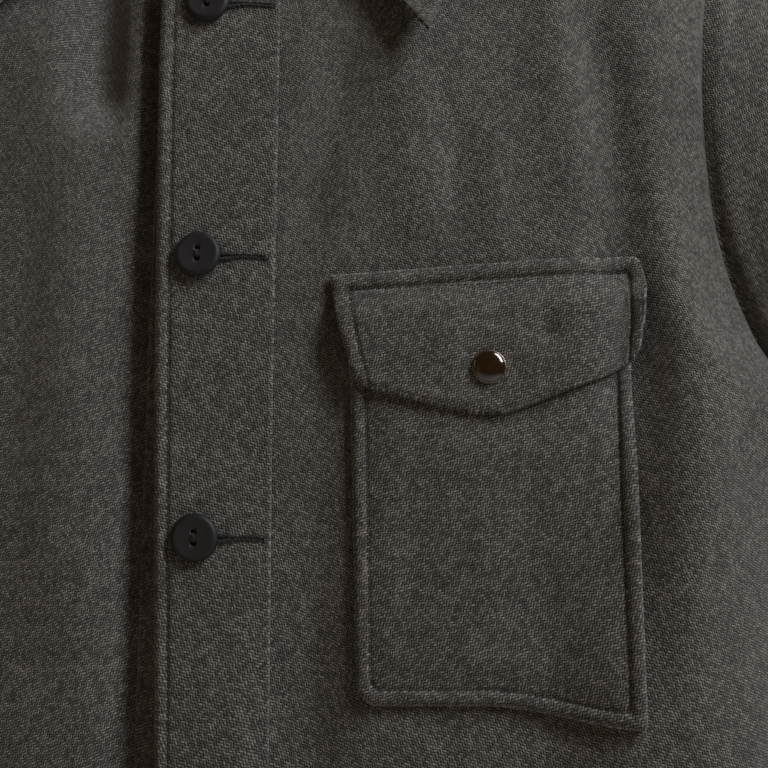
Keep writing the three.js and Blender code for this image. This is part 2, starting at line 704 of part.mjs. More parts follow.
// Points down the leaf: up from the stand's inside, over the roll and down to the edge.
function leafSection(place) {
  const { out, fromFront } = place;
  const top = standPoint(place, 1);
  const upwards = top.clone().sub(standPoint(place, 0)).normalize();
  const roll = LEAF_ROLL.map((row) =>
    top.clone().addScaledVector(out, row.out - STAND_CLOTH).addScaledVector(upwards, row.up),
  );
  const edge = leafEdge(place);
  const { from, to } = LEAF_BULGE_TURN;
  const front = smooth((from - fromFront) / (from - to));
  const fall = LEAF_FALL.map(({ share, spare, bulge, swing }) => {
    const point = roll.at(-1).clone().lerp(edge, share);
    point.x += swing * front * place.side;
    return liftOffBody(point, LEAF_CLEAR + spare + bulge * front);
  });
  const curve = new THREE.CatmullRomCurve3([...roll, ...fall, edge], false, "centripetal");
  const points = curve.getPoints(LEAF_STEPS);
  return points.map((p, n) => (n > LEAF_STEPS / 2 ? liftOffBody(p, LEAF_CLEAR) : p));
}

// The part of the neckline that the leaf goes round, with more places where it turns fast.
function leafRing() {
  const ring = neckRing().filter(({ point, side }) => point.x * side > LEAF_START || point.y > 0);
  return ring.flatMap((place, i) => {
    const next = ring[i + 1];
    if (!next || Math.abs(next.fromFront - place.fromFront) < LEAF_TURN_STEP) return [place];
    const middle = place.point.clone().lerp(next.point, 0.5);
    return [place, neckPlace(middle, place.side || next.side)];
  });
}

function collarLeaf() {
  const grid = leafRing().map(leafSection);
  const normals = gridNormals(grid, false);
  const middle = normals[Math.floor(grid.length / 2)][LEAF_STEPS - 1];
  if (middle.y < 0) normals.flat().forEach((n) => n.negate());
  return wall(grid, inwards(grid, normals, LEAF_CLOTH));
}

// Strips, the pocket and the flap, which lie on a front

// A wall on a panel from lines of {x, down, high, low}.
function layer(panel, lines) {
  const grid = (name) => lines.map((line) => line.map((p) => onPanel(panel, p.x, p.down, p[name])));
  return wall(grid("high"), grid("low"));
}

// A strip on a front, from the front's own points between its edge and a column.
function strip(panel, lastColumn, thick) {
  const { grid, normals } = panels[panel];
  const off = (high) =>
    grid
      .slice(0, lastColumn + 1)
      .map((line, i) => line.map((p, j) => p.clone().addScaledVector(normals[i][j], high)));
  return wall(off(LAYER_GAP + thick), off(LAYER_GAP));
}

// How far down the pocket's bottom edge is, with its rounded inner corner.
function pocketBottom(x) {
  const share = (x - POCKET.left) / (POCKET.right - POCKET.left);
  const corner = clamp(1 - (x - POCKET.left) / POCKET_CORNER);
  return (
    mix(POCKET.leftDown, POCKET.rightDown, smooth((share - POCKET_SAG_START) / (1 - POCKET_SAG_START))) -
    POCKET_CORNER * (1 - Math.sqrt(1 - corner ** 2))
  );
}

// The pocket's height by how far a point is inside its edge and below its mouth.
function pocketHigh(inside, below) {
  const high = along(POCKET_SECTION, "inside", inside, "high");
  return mix(POCKET_MOUTH.high, high, smooth((below - POCKET_MOUTH.from) / POCKET_MOUTH.long));
}

function chestPocket() {
  const insides = POCKET_SECTION.map(({ inside }) => inside);
  const wide = POCKET.right - POCKET.left;
  const { margin, columns, rows } = POCKET_MIDDLE;
  const fromLefts = [
    ...insides,
    ...evenly(margin, wide - margin, columns),
    ...insides.map((v) => wide - v).reverse(),
  ];
  const lines = fromLefts.map((fromLeft) => {
    const x = POCKET.left + fromLeft;
    const top = POCKET.mouthDown;
    const bottom = pocketBottom(x);
    const downs = [
      ...evenly(top, bottom - margin, rows),
      ...[...insides].reverse().map((v) => bottom - v),
    ];
    return downs.map((down) => {
      const inside = Math.min(fromLeft, wide - fromLeft, bottom - down);
      const high = pocketHigh(inside, down - top);
      const free = smooth((inside - POCKET_BAND) / POCKET_FREE_LONG);
      return { x, down, high, low: mix(POCKET_GAP, high - POCKET_CLOTH, free) };
    });
  });
  return layer("left", lines);
}

// A place on the flap at a share of its width and of its height.
function flapPlace(across, downward) {
  const bow = Math.sin(Math.PI * downward);
  const left = mix(FLAP.topLeftX, FLAP.lowLeftX, downward) - FLAP_LEFT_BOW * bow;
  const right = mix(FLAP.topRightX, FLAP.lowRightX, downward) + FLAP_RIGHT_BOW * bow;
  const x = mix(left, right, across);
  const top = mix(FLAP.topLeftDown, FLAP.topRightDown, across);
  const toTip = (x - FLAP.lowLeftX) / (FLAP.tipX - FLAP.lowLeftX);
  const pastTip = (x - FLAP.tipX) / (FLAP.lowRightX - FLAP.tipX);
  const leftEdge = Math.exp(-mix(FLAP.lowLeftDown - FLAP.tipDown, 0, toTip) / FLAP_TIP_SOFT);
  const rightEdge = Math.exp(-mix(0, FLAP.lowRightDown - FLAP.tipDown, pastTip) / FLAP_TIP_SOFT);
  const low = FLAP.tipDown - FLAP_TIP_SOFT * Math.log(leftEdge + rightEdge);
  const corner = (near, r) => r * (1 - Math.sqrt(1 - clamp(1 - near / FLAP_CORNER) ** 2));
  const bottom = low - corner(right - x, FLAP_CORNER) - corner(x - left, FLAP_CORNER / 2);
  return { x, down: mix(top + corner(right - x, FLAP_CORNER / 2), bottom, downward), top };
}

function pocketFlap() {
  const lines = FLAP_ACROSS.map((across) =>
    FLAP_DOWNWARD.map((downward) => {
      const { x, down, top } = flapPlace(across, downward);
      const climb = smooth((down - top - FLAP_RISE_START) / FLAP_RISE_LONG);
      const low = POCKET_GAP + FLAP_RISE * climb;
      const onRim = [0, 1].includes(across) || [0, 1].includes(downward);
      return { x, down, low, high: low + FLAP_CLOTH - (onRim ? FLAP_RIM_THIN : 0) };
    }),
  );
  return layer("left", lines);
}

// A point on the stand where the neck button sits.
function onStand(share) {
  const [before, after] = neckRing().slice(1, 3);
  const t = -before.point.x / (after.point.x - before.point.x);
  return standPoint(before, share).lerp(standPoint(after, share), t);
}

// Buttons and the snap

// Turns a solid made along +z so that it stands on a surface.
function standOn(mesh, point, normal) {
  mesh.position.copy(point);
  mesh.quaternion.setFromUnitVectors(at(0, 0, 1), normal);
  return mesh;
}

function lathe(profile, sides) {
  const geometry = new THREE.LatheGeometry(profile.map(([r, z]) => new THREE.Vector2(r, z)), sides);
  return geometry.rotateX(Math.PI / 2);
}

function toSolid(geometry) {
  const points = geometry.getAttribute("position");
  const found = new Map();
  const merged = [];
  const index = Array.from({ length: points.count }, (_, i) => {
    const p = [points.getX(i), points.getY(i), points.getZ(i)];
    const key = p.map((v) => Math.round(v * MERGE_STEPS_PER_MM)).join();
    if (!found.has(key)) {
      found.set(key, merged.length / 3);
      merged.push(...p);
    }
    return found.get(key);
  });
  const faces = [];
  const used = geometry.index.array;
  for (let n = 0; n < used.length; n += 3) {
    const [a, b, c] = [index[used[n]], index[used[n + 1]], index[used[n + 2]]];
    if (a !== b && b !== c && c !== a) faces.push(a, b, c);
  }
  const mesh = new wasm.Mesh({
    numProp: 3,
    vertProperties: new Float32Array(merged),
    triVerts: new Uint32Array(faces),
  });
  return new wasm.Manifold(mesh);
}

function toGeometry(solid) {
  const mesh = solid.getMesh();
  const geometry = new THREE.BufferGeometry();
  geometry.setAttribute("position", new THREE.Float32BufferAttribute(mesh.vertProperties, 3));
  geometry.setIndex(new THREE.Uint32BufferAttribute(mesh.triVerts, 1));
  return geometry;
}

// A dished button with a rounded rim and two holes, one above the other.
function buttonGeometry() {
  const r = BUTTON_RADIUS;
  const t = BUTTON_THICK;
  const rim = [[0, 0], [r - 1.6, 0], [r, 1.2], [r, t - 0.8], [r - 0.9, t]];
  const dish = [[0.55 * r, t - BUTTON_DISH], [0, t - BUTTON_DISH]];
  const disc = toSolid(lathe([...rim, ...dish], BUTTON_SIDES));
  const { radius, apart, sides } = BUTTON_HOLE;
  const holes = [-1, 1].map((side) => {
    const hole = new THREE.CylinderGeometry(radius, radius, 3 * t, sides);
    return toSolid(hole.rotateX(Math.PI / 2).translate(0, (side * apart) / 2, t / 2));
  });
  return toGeometry(holes.reduce((solid, hole) => solid.subtract(hole), disc));
}

function snapGeometry() {
  const { radius, high, sides } = SNAP;
  const rim = [[0, 0], [radius - 0.8, 0], [radius, 0.7]];
  const dome = [[0.93 * radius, 1.3], [0.72 * radius, 2.2], [0.42 * radius, 2.8], [0, high]];
  return lathe([...rim, ...dome], sides);
}

// The jacket

function piece(name, geometry, finish = WOOL) {
  const mesh = new THREE.Mesh(geometry, new THREE.MeshStandardMaterial(finish));
  mesh.name = name;
  return mesh;
}

const jacket = new THREE.Group();
jacket.name = "wool_shirt_jacket";
jacket.add(
  piece("left_front", panelWall("left")),
  piece("right_front", panelWall("right")),
  piece("back", panelWall("back")),
  piece("left_sleeve", sleeveWall(1)),
  piece("right_sleeve", sleeveWall(-1)),
  piece("collar_stand", collarStand()),
  piece("collar_leaf", collarLeaf()),
  piece("placket", strip("left", PLACKET_COLUMNS, PLACKET_CLOTH)),
  piece("button_band", strip("right", BAND_COLUMNS, BAND_CLOTH)),
  piece("chest_pocket", chestPocket()),
  piece("pocket_flap", pocketFlap()),
);

const placketTop = LAYER_GAP + PLACKET_CLOTH + BUTTON_GAP;
BUTTON_DOWN.forEach((down, n) => {
  const button = piece(`button_${n + 1}`, buttonGeometry(), BUTTON_FINISH);
  jacket.add(standOn(button, onPanel("left", 0, down, placketTop), bodyNormal("left", 0, down)));
});

const standMiddle = onStand(0.5);
const standNormal = at(0, -Math.cos(radians(STAND_FRONT_LEAN)), Math.sin(radians(STAND_FRONT_LEAN)));
const neckButton = piece("button_neck", buttonGeometry(), BUTTON_FINISH);
jacket.add(standOn(neckButton, standMiddle.addScaledVector(standNormal, 2 * BUTTON_GAP), standNormal));

const flapTop = POCKET_GAP + FLAP_RISE + FLAP_CLOTH + BUTTON_GAP;
const snap = piece("snap_cap", snapGeometry(), SNAP_FINISH);
jacket.add(
  standOn(snap, onPanel("left", SNAP.x, SNAP.down, flapTop), bodyNormal("left", SNAP.x, SNAP.down)),
);

// The origin: the inside of the back panel at the middle of its neckline
const backNeckReach = bodyReach("back", 0, BACK_NECK_DROP) - CLOTH;
jacket.position.set(0, -backNeckReach, BACK_NECK_DROP);

export default jacket;
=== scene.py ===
# A wool shirt jacket that hangs buttoned from its shoulders, with one flapped chest pocket.
# Shapes are worked out in millimetres: x to the wearer's left, y to the back and z up, from the
# shoulder's neck ends (z = 0) and the shoulder seams (y = 0). "down" is measured from z = 0.
# to_frame turns such points into the part's own frame, in metres.
import math

import bpy
import numpy as np
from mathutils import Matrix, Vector


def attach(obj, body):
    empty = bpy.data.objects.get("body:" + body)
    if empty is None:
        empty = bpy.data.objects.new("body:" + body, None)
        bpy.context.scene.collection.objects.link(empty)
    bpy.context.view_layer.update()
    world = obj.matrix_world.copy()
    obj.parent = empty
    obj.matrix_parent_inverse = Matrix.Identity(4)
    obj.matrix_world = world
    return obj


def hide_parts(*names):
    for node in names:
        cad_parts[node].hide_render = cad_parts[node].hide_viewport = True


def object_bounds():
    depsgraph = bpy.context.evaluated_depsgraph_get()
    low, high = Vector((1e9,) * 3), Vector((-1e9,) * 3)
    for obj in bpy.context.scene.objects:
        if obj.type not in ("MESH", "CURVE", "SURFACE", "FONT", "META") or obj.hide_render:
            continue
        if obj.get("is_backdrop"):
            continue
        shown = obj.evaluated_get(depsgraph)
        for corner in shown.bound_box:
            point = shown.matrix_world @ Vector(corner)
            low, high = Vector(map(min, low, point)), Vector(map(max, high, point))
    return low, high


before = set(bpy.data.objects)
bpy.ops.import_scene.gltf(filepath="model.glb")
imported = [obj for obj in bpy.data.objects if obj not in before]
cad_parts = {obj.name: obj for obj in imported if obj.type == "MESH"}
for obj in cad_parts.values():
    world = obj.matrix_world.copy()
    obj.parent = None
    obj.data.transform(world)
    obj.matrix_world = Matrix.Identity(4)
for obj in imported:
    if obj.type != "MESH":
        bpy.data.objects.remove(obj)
CAD_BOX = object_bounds()

# Sizes. The main ones are those of the part's solids. The render has its own, finer ones for the
# pocket's outline and seam, the edges of the placket and the band, the collar's points, the snap
# and the sewing.

CLOTH = 1.8
SEAM_HALF = 0.03
NECK_HALF = 78
FRONT_NECK_DROP = 92
BACK_NECK_DROP = 18
NECK_CURVE = 0.7
SHOULDER_HALF = 230
SHOULDER_DROP = 62
SHOULDER_ROUND = 75
UNDERARM_DROP = 292
HEM_DROP = 760
SIDE_ROUND = 42
ARMHOLE_DEPTH = 43
FOLD_FADE = 0.22
FLAT_HALF = 150
SPREAD_DOWN = 120
ARMHOLE_ROWS = 10
LOWER_ROWS = 8
SIDE_STEPS = 7
UNDERLAP = {"deep": 5.6, "start_x": -44, "long": 30, "dip_x": -20, "dip_wide": 8, "dip_deep": 3}


def rows(names, *values):
    """A table with named columns, one array for each."""
    return {name: np.array(column, float) for name, column in zip(names.split(), zip(*values))}


# Half of the body's width, down from the neck
SIDE = rows(
    "down half",
    (62, 230), (95, 222), (135, 215), (180, 213), (225, 219), (262, 234),
    (292, 255), (325, 247), (420, 243), (580, 246), (760, 254),
)
# How far the front and the back stand from the shoulder seams' plane
DEPTH = rows(
    "down front back",
    (0, 42, 38), (80, 47, 46), (150, 51, 51), (300, 55, 54), (500, 54, 52), (760, 50, 47),
)

# Soft ridges (rise above 0) and troughs, each along a line from its top to its bottom. The solids
# have the first 9 rows of the left table, 6 of the right one and 7 of the back's. The other rows
# are only in the render. They are creases, apart from the 14 mm hollow at the top of the right
# front and the 5.6 mm ridge by the left armhole, which are larger.
FOLD_COLUMNS = "top_x top_down end_x end_down wide rise bow"
LEFT_FOLDS = rows(
    FOLD_COLUMNS,
    (62, 130, 42, 235, 9, -2.6, 0),
    (84, 140, 92, 235, 13, 2.4, 0),
    (146, 90, 163, 228, 12, 3.4, 0),
    (158, 96, 176, 330, 14, -6, 8),
    (205, 240, 140, 600, 24, 10, 0),
    (46, 300, 52, 900, 13, -5, 0),
    (118, 395, 112, 900, 15, 7, 0),
    (128, 430, 150, 900, 15, -7, 0),
    (172, 440, 194, 900, 17, 8, 0),
    (103, 160, 106, 236, 6.5, -1.5, 1),
    (121, 168, 124, 240, 6, 1.2, -1),
    (50, 232, 47, 420, 7, -0.9, 1.5),
    (92, 400, 90, 560, 7, 1.1, -2),
    (128, 430, 132, 640, 6, -1.2, 2),
    (205, 300, 212, 700, 9, -2, -3),
    (33, 300, 33, 900, 10, -2.6, 0),
    (196, 110, 204, 760, 17, 5.6, 0),
    (158, 140, 176, 420, 11, -1.8, 0),
)
RIGHT_FOLDS = rows(
    FOLD_COLUMNS,
    (52, 110, 50, 420, 15, 3, 0),
    (84, 120, 104, 380, 14, -3, 0),
    (150, 95, 172, 480, 14, -6, 0),
    (128, 160, 134, 900, 20, 6, 0),
    (72, 400, 80, 900, 17, -7, 0),
    (172, 440, 180, 900, 16, -6, 0),
    (47, 50, 45, 186, 12, -14, 0),
    (40, 150, 34, 330, 12, -2.5, 0),
    (29, 104, 31, 224, 5.5, 1.6, 0),
    (66, 190, 70, 330, 8, -1.1, 2),
    (108, 250, 112, 520, 9, 1.6, -3),
    (206, 320, 214, 720, 9, -2, 2),
)
BACK_FOLDS = rows(
    FOLD_COLUMNS,
    (-168, 100, -150, 470, 15, -6, 0),
    (-110, 110, -96, 900, 24, 7, 0),
    (-46, 260, -34, 900, 20, -8, 0),
    (22, 180, 26, 900, 22, 7, 0),
    (84, 290, 82, 900, 19, -8, 0),
    (128, 130, 142, 900, 18, 6, 0),
    (172, 100, 186, 520, 13, -6, 0),
    (-72, 150, -66, 380, 9, -1.6, 3),
    (-14, 210, -10, 520, 8, 1.5, -3),
    (58, 160, 60, 430, 9, -1.7, 2),
    (-190, 330, -196, 690, 9, -2.2, -2),
    (204, 340, 208, 720, 10, 2, 2),
    (-122, 420, -128, 700, 7, -1.5, 1),
)
FOLDS = {"left": LEFT_FOLDS, "right": RIGHT_FOLDS, "back": BACK_FOLDS}

# Columns across half of a panel: where each meets the neckline or shoulder, and where it hangs
LEFT_COLUMNS = rows(
    "top low",
    (-14.5, -14.5), (-1, -1), (12, 12), (22.5, 22.5), (33, 33), (48, 43), (59.8, 53), (69.5, 63),
    (75.7, 73), (77.4, 83), (78, 93), (92.4, 104.4), (106.8, 115.8), (121.2, 127.2),
    (135.6, 138.6), (150, 150),
)
RIGHT_COLUMNS = rows(
    "top low",
    (-27, -27), (-13.5, -13.5), (0, 0), (12, 12), (20, 20), (33, 29), (48, 38), (59.8, 49),
    (69.5, 60), (75.7, 71), (77.4, 82), (78, 93), (92.4, 104.4), (106.8, 115.8),
    (121.2, 127.2), (135.6, 138.6), (150, 150),
)
BACK_COLUMNS = rows(
    "top low",
    (0, 0), (20, 16), (39, 32), (55, 47), (67.5, 62), (75.3, 77), (78, 91), (102, 110),
    (126, 130), (150, 150),
)
# Fine columns and rows for each of the part's own
SPLIT = {
    "left": {"columns": 5, "side": 8, "armhole": 10, "lower": 23},
    "right": {"columns": 5, "side": 8, "armhole": 10, "lower": 23},
    "back": {"columns": 5, "side": 6, "armhole": 10, "lower": 14},
}

# Sections down a sleeve: its outer and inner edge, half its depth and how far it swings forward
SLEEVE = rows(
    "section outer_x outer_down inner_x inner_down half forward",
    (0, 230, 62, 255, 292, 43, 0),
    (1, 248, 70, 258, 290, 46, 0),
    (2, 274, 86, 261.5, 290, 49, 0),
    (3, 300, 109, 264.5, 292, 52, 0),
    (4, 323, 140, 267, 296, 55, 0),
    (5, 343, 177, 269, 303, 57, 0),
    (6, 359, 218, 271, 314, 58, 0),
    (7, 371, 261, 274, 332, 58, 1),
    (8, 381, 305, 277, 358, 57, 2),
    (9, 389, 350, 280, 388, 55, 4),
    (10, 396, 395, 284, 420, 53, 7),
    (11, 402, 430, 290, 449, 51, 10),
    (12, 407, 465, 297, 480, 49, 14),
    (13, 412, 500, 305, 513, 47, 18),
    (14, 417, 535, 314, 547, 44, 22),
    (15, 421, 570, 322, 581, 41, 25),
    (16, 425, 605, 329, 615, 39, 27),
    (17, 429, 645, 335, 655, 37, 29),
)
LAST_SECTION = 17
SECTION_SPLIT = 8
ARMHOLE_FADE = 4
# The cloth's rise beside the armhole's seam, and the seam along the sleeve's inner side
SLEEVE_HEAD = {"rise": 0.9, "down": 7, "wide": 4}
SLEEVE_SEAM = {"deep": 0.9, "turn": 179, "mm_a_degree": 0.8, "wide": 3, "fade": 20}
# The solids have the first ten of these folds
SLEEVE_FOLDS = rows(
    "section turn tall round slant rise",
    (4, 100, 1.3, 55, 1.2, -7),
    (5.8, 120, 0.9, 50, 1.0, 5),
    (7.6, 140, 0.8, 55, 0.8, -6),
    (4.5, -105, 1.3, 55, -1.2, -7),
    (6.4, -125, 0.9, 50, -0.9, 5),
    (10, 75, 0.8, 60, -0.7, -5),
    (11.6, 60, 0.7, 60, -0.6, 4),
    (13, 90, 0.7, 55, 0.6, -4.5),
    (10.8, -70, 0.8, 55, 0.6, -4.5),
    (14, -100, 0.8, 60, 0.5, -4),
    (9.2, 20, 0.45, 45, 0.5, -1.6),
    (12.3, 110, 0.35, 40, -0.4, 1.4),
    (12.4, -60, 0.4, 50, -0.5, 1.5),
    (8.4, -95, 0.45, 45, 0.4, -1.8),
    (15.2, 40, 0.35, 50, 0.4, -1.3),
    (6.9, 70, 0.4, 40, 0.6, 1.5),
)

# Collar
STAND_CLOTH = 2.4
STAND_FRONT = 27
STAND_BACK = 33
STAND_FRONT_LEAN = 20
STAND_BACK_LEAN = 5
NECK_FRONT_DEPTH = 48
NECK_BACK_DEPTH = 25
LEAF_CLOTH = 2.6
LEAF_START = 12
LEAF_CLEAR = 4.9
LEAF_ROLL = rows("out up", (0, 1.4), (0.8, 4.6), (5, 7), (10, 3.2))
LEAF_FALL = rows("share spare bulge swing", (0.33, 1.5, 0, 4), (0.66, 0.8, 2.5, 7))
LEAF_BULGE_TURN = {"start": 70, "end": 30}
LEAF_EDGE = rows(
    "turn x down lift",
    (9, 94, 137.5, 12), (30, 101, 121, 10), (50, 110, 90, 5), (70, 120, 52, 5),
    (90, 127, 19.99, 5), (110, 119, 29, 5), (135, 84, 29, 5), (160, 42, 30, 5), (180, 0, 31, 5),
)
LEAF_STEPS = 40
NECK_STEPS = {"left": 52, "back": 90, "right": 56}
LEAF_STITCH_IN = 6

# Front bands and buttons
PLACKET_CLOTH = 1.6
PLACKET_INNER = 31.3
BAND_CLOTH = 1.4
BAND_INNER = -19.6
LAYER_GAP = 0.3
LAYER_LOW = LAYER_GAP - 0.2
STITCH_IN = 5.4
# How far the left front's edge strays from its straight line, from the neck to the hem
EDGE_DRIFT = rows(
    "down x",
    (90, -4.6), (150, -4), (200, -2.7), (246, -1.7), (348, 1.2), (440, 4), (560, 3), (760, 1),
)
EDGE_X = -14.5
BAND_EDGE_X = 27
# How far in from a band's folded edge the front's own edge lies
EDGE_INSET = 2.7
# How far in from its edge a front's columns are moved to follow the edge
EDGE_SPREAD = 24
BUTTONS = rows(
    "down x tilt turn",
    (122.1, 1.3, 4, 200), (233.6, 1, 4.5, 160), (346.5, 2.9, 5, 200), (459, 0.8, 4, 120),
    (571, 0.2, 3.5, 240), (683, 0.6, 4, 180),
)
BUTTON_HOLE = {"radius": 1.05, "apart": 4.2}
BUTTON_GAP = 0.4
# A buttonhole starts this far from its button's middle, and this far below it
HOLE_FROM_BUTTON = 7.6
HOLE_LOW = 1.7
HOLE_THREAD_GAP = 0.42
HOLE_END = 29.6
HOLE_SLOPE = 0.1

# Chest pocket and flap
POCKET = {
    "left_top": 62.4, "left_low": 65.6, "right_top": 175.2, "right_low": 173.6,
    "mouth_down": 264, "left_down": 409.5, "right_down": 417,
}
POCKET_WIDE = POCKET["right_low"] - POCKET["left_low"]
POCKET_SAG_START = 0.45
POCKET_GAP = 0.85
POCKET_CLOTH = 1.7
POCKET_CORNER = 9
POCKET_BAND = 5.6
POCKET_SECTION = rows(
    "inside high",
    (0, 1.9), (0.5, 2.75), (1.6, 3.5), (3.2, 3.65), (4.5, 3.3), (5.6, 2.3), (6.8, 2.75),
    (9, 3.1), (14, 3.9),
)
POCKET_MOUTH = {"high": 2.7, "start": 4, "long": 22}
POCKET_FREE_LONG = 6
FLAP = {
    "top_left_x": 55.1, "top_left_down": 242.3, "top_right_x": 181.5, "top_right_down": 232.4,
    "low_left_x": 63.7, "low_left_down": 286.2, "low_right_x": 181.7, "low_right_down": 275.2,
    "tip_x": 119, "tip_down": 300.2,
}
FLAP_CLOTH = 2.3
FLAP_RISE = 4.2
FLAP_RISE_START = 6
FLAP_RISE_LONG = 14
FLAP_CORNER = 7
FLAP_LEFT_BOW = 1.2
FLAP_RIGHT_BOW = 2.4
FLAP_TIP_SOFT = 3
FLAP_STITCH_IN = 6.2
# The size that the flap's places are spread over, and its side stitching's distance from the side
FLAP_SPREAD = {"wide": 124, "tall": 50, "side": 6.5}
# How far a piece's back stands off what it lies on
BACK_OFF = 0.15
SNAP = {"x": 117.4, "down": 280.2, "radius": 6.4, "high": 3}

# Sewing
STITCH = {"pitch": 2.7, "long": 2.1, "thick": 0.26}
GROOVE = {"deep": 0.85, "wide": 1.0}
SEAM_GROOVE = {"deep": 1.1, "wide": 2.2}
# A stitch size's pitch where a path has one stitch only, longer than any path
ONE_ONLY = 99
HEM_TURN = 25
CUFF_TURN = 30
HEM_GROOVE_WIDE = 1.6
# How much thinner than two layers a pressed hem is
HEM_PRESSED = 0.4


def clamp(t):
    return np.clip(t, 0, 1)


def smooth(t):
    return clamp(t) ** 2 * (3 - 2 * clamp(t))


def mix(a, b, t):
    return a + (b - a) * t


def bell(distance, wide):
    return np.exp(-((distance / wide) ** 2))


def unit(v):
    return v / np.maximum(np.linalg.norm(v, axis=-1, keepdims=True), 1e-9)


def at(x, y, z):
    return np.stack(np.broadcast_arrays(x, y, z), -1).astype(float)


def hermite(t, a, leave, b, arrive):
    """A place on a smooth curve from a to b, with its slopes where it leaves and arrives."""
    return (
        (2 * t**3 - 3 * t**2 + 1) * a + (t**3 - 2 * t**2 + t) * leave
        + (3 * t**2 - 2 * t**3) * b + (t**3 - t**2) * arrive
    )


def along(table, key, value, column):
    """A table's column at the values of a key, on a smooth curve through its rows."""
    k, c = table[key], table[column]
    value = np.clip(value, k[0], k[-1])
    i = np.clip(np.searchsorted(k, value, side="right") - 1, 0, len(k) - 2)
    n = np.arange(len(k))
    before, after = np.maximum(n - 1, 0), np.minimum(n + 1, len(k) - 1)
    slope = (c[after] - c[before]) / (k[after] - k[before])
    span = k[i + 1] - k[i]
    return hermite((value - k[i]) / span, c[i], span * slope[i], c[i + 1], span * slope[i + 1])


# The body

SHOULDER_SLOPE = SHOULDER_DROP / (SHOULDER_HALF - NECK_HALF)
ARMHOLE_MIDDLE = (SHOULDER_DROP + UNDERARM_DROP) / 2
ARMHOLE_HALF = (UNDERARM_DROP - SHOULDER_DROP) / 2


def shoulder_down(x):
    return SHOULDER_SLOPE * np.maximum(0, np.abs(x) - NECK_HALF)


def top_down(face, x):
    """How far down a panel's top is: the neckline, then the shoulder seam."""
    drop = FRONT_NECK_DROP if face == "front" else BACK_NECK_DROP
    neck = drop * np.maximum(0, 1 - (x / NECK_HALF) ** 2) ** NECK_CURVE
    return np.where(np.abs(x) >= NECK_HALF, shoulder_down(x), neck)


def armhole_reach(down):
    t = (down - ARMHOLE_MIDDLE) / ARMHOLE_HALF
    return ARMHOLE_DEPTH * np.sqrt(np.maximum(0, 1 - t * t))


def folds(table, x, down):
    """The height of all the folds in a table at a place on a panel."""
    total = 0
    for top_x, top, end_x, end, wide, rise, bow in zip(*table.values()):
        t = clamp((down - top) / (end - top))
        line = mix(top_x, end_x, t) + 4 * bow * t * (1 - t)
        total = total + rise * bell(x - line, wide) * smooth(t / FOLD_FADE) * smooth((1 - t) / FOLD_FADE)
    return total


def underlap(x):
    """How far the right front lies behind the left one near their overlap."""
    u = UNDERLAP
    lap = u["deep"] * smooth((x - u["start_x"]) / u["long"])
    return lap + u["dip_deep"] * bell(x - u["dip_x"], u["dip_wide"])


def body_reach(panel, x, down):
    """How far a panel's outer surface stands from the shoulder seams' plane."""
    below = down - shoulder_down(x)
    high = clamp(below / SHOULDER_ROUND)
    full = along(DEPTH, "down", down, "back" if panel == "back" else "front") * np.sqrt(1 - (1 - high) ** 2)
    edge = armhole_reach(down)
    e = clamp((along(SIDE, "down", down, "half") - np.abs(x)) / SIDE_ROUND)
    tight = np.where(down > ARMHOLE_MIDDLE, 1 - edge / ARMHOLE_DEPTH, 0)
    side = mix(np.sin(e * math.pi / 2), np.sqrt(1 - (1 - e) ** 2), tight)
    hold = smooth(e) * smooth(below / SHOULDER_ROUND)
    own_x = -x if panel == "right" else x
    reach = edge + (full - edge) * side + hold * folds(FOLDS[panel], own_x, down)
    if panel == "right":
        reach = reach - underlap(x)
    return np.maximum(reach, SEAM_HALF)


def body_point(panel, x, down):
    reach = body_reach(panel, x, down)
    return at(x, reach if panel == "back" else -reach, -down)


def on_body(panel, x, down, high):
    """Points that stand off a panel."""
    step = 0.5
    across = body_point(panel, x + step, down) - body_point(panel, x - step, down)
    upwards = body_point(panel, x, down - step) - body_point(panel, x, down + step)
    normal = unit(np.cross(across, upwards)) * (-1 if panel == "back" else 1)
    return body_point(panel, x, down) + normal * np.asarray(high)[..., None], normal


def on_left_front(x, down, high):
    """Points that stand off the left front, and its outward directions there."""
    return on_body("left", np.asarray(x, float), np.asarray(down, float), np.asarray(high, float))


def laid_on(x, down, high, low):
    """A piece on the left front, from how far its outer and inner surfaces stand off."""
    outer, inner = on_left_front(x, down, high)[0], on_left_front(x, down, low)[0]
    return {"outer": outer, "inner": inner, "uv": np.stack([x, down], -1)}


# The origin is on the inside of the back panel at the middle of its neckline
ORIGIN = np.array([0, float(body_reach("back", np.array(0.0), BACK_NECK_DROP)) - CLOTH, -BACK_NECK_DROP])


def to_frame(points):
    return (np.asarray(points) - ORIGIN) / 1000


# Meshes: a grid of outer points and one of inner points make one closed wall with a round rim


def grid_normals(grid, closed):
    wrapped = np.concatenate([grid[-1:], grid, grid[:1]]) if closed else grid
    across = wrapped[2:] - wrapped[:-2] if closed else np.gradient(grid, axis=0)
    return unit(np.cross(across, np.gradient(grid, axis=1)))


def quads(index, closed):
    a = np.concatenate([index, index[:1]]) if closed else index
    return np.stack([a[:-1, :-1], a[:-1, 1:], a[1:, 1:], a[1:, :-1]], -1).reshape(-1, 4)


# How far a wall's rim stands out, as a share of the wall's thickness
RIM = 0.42


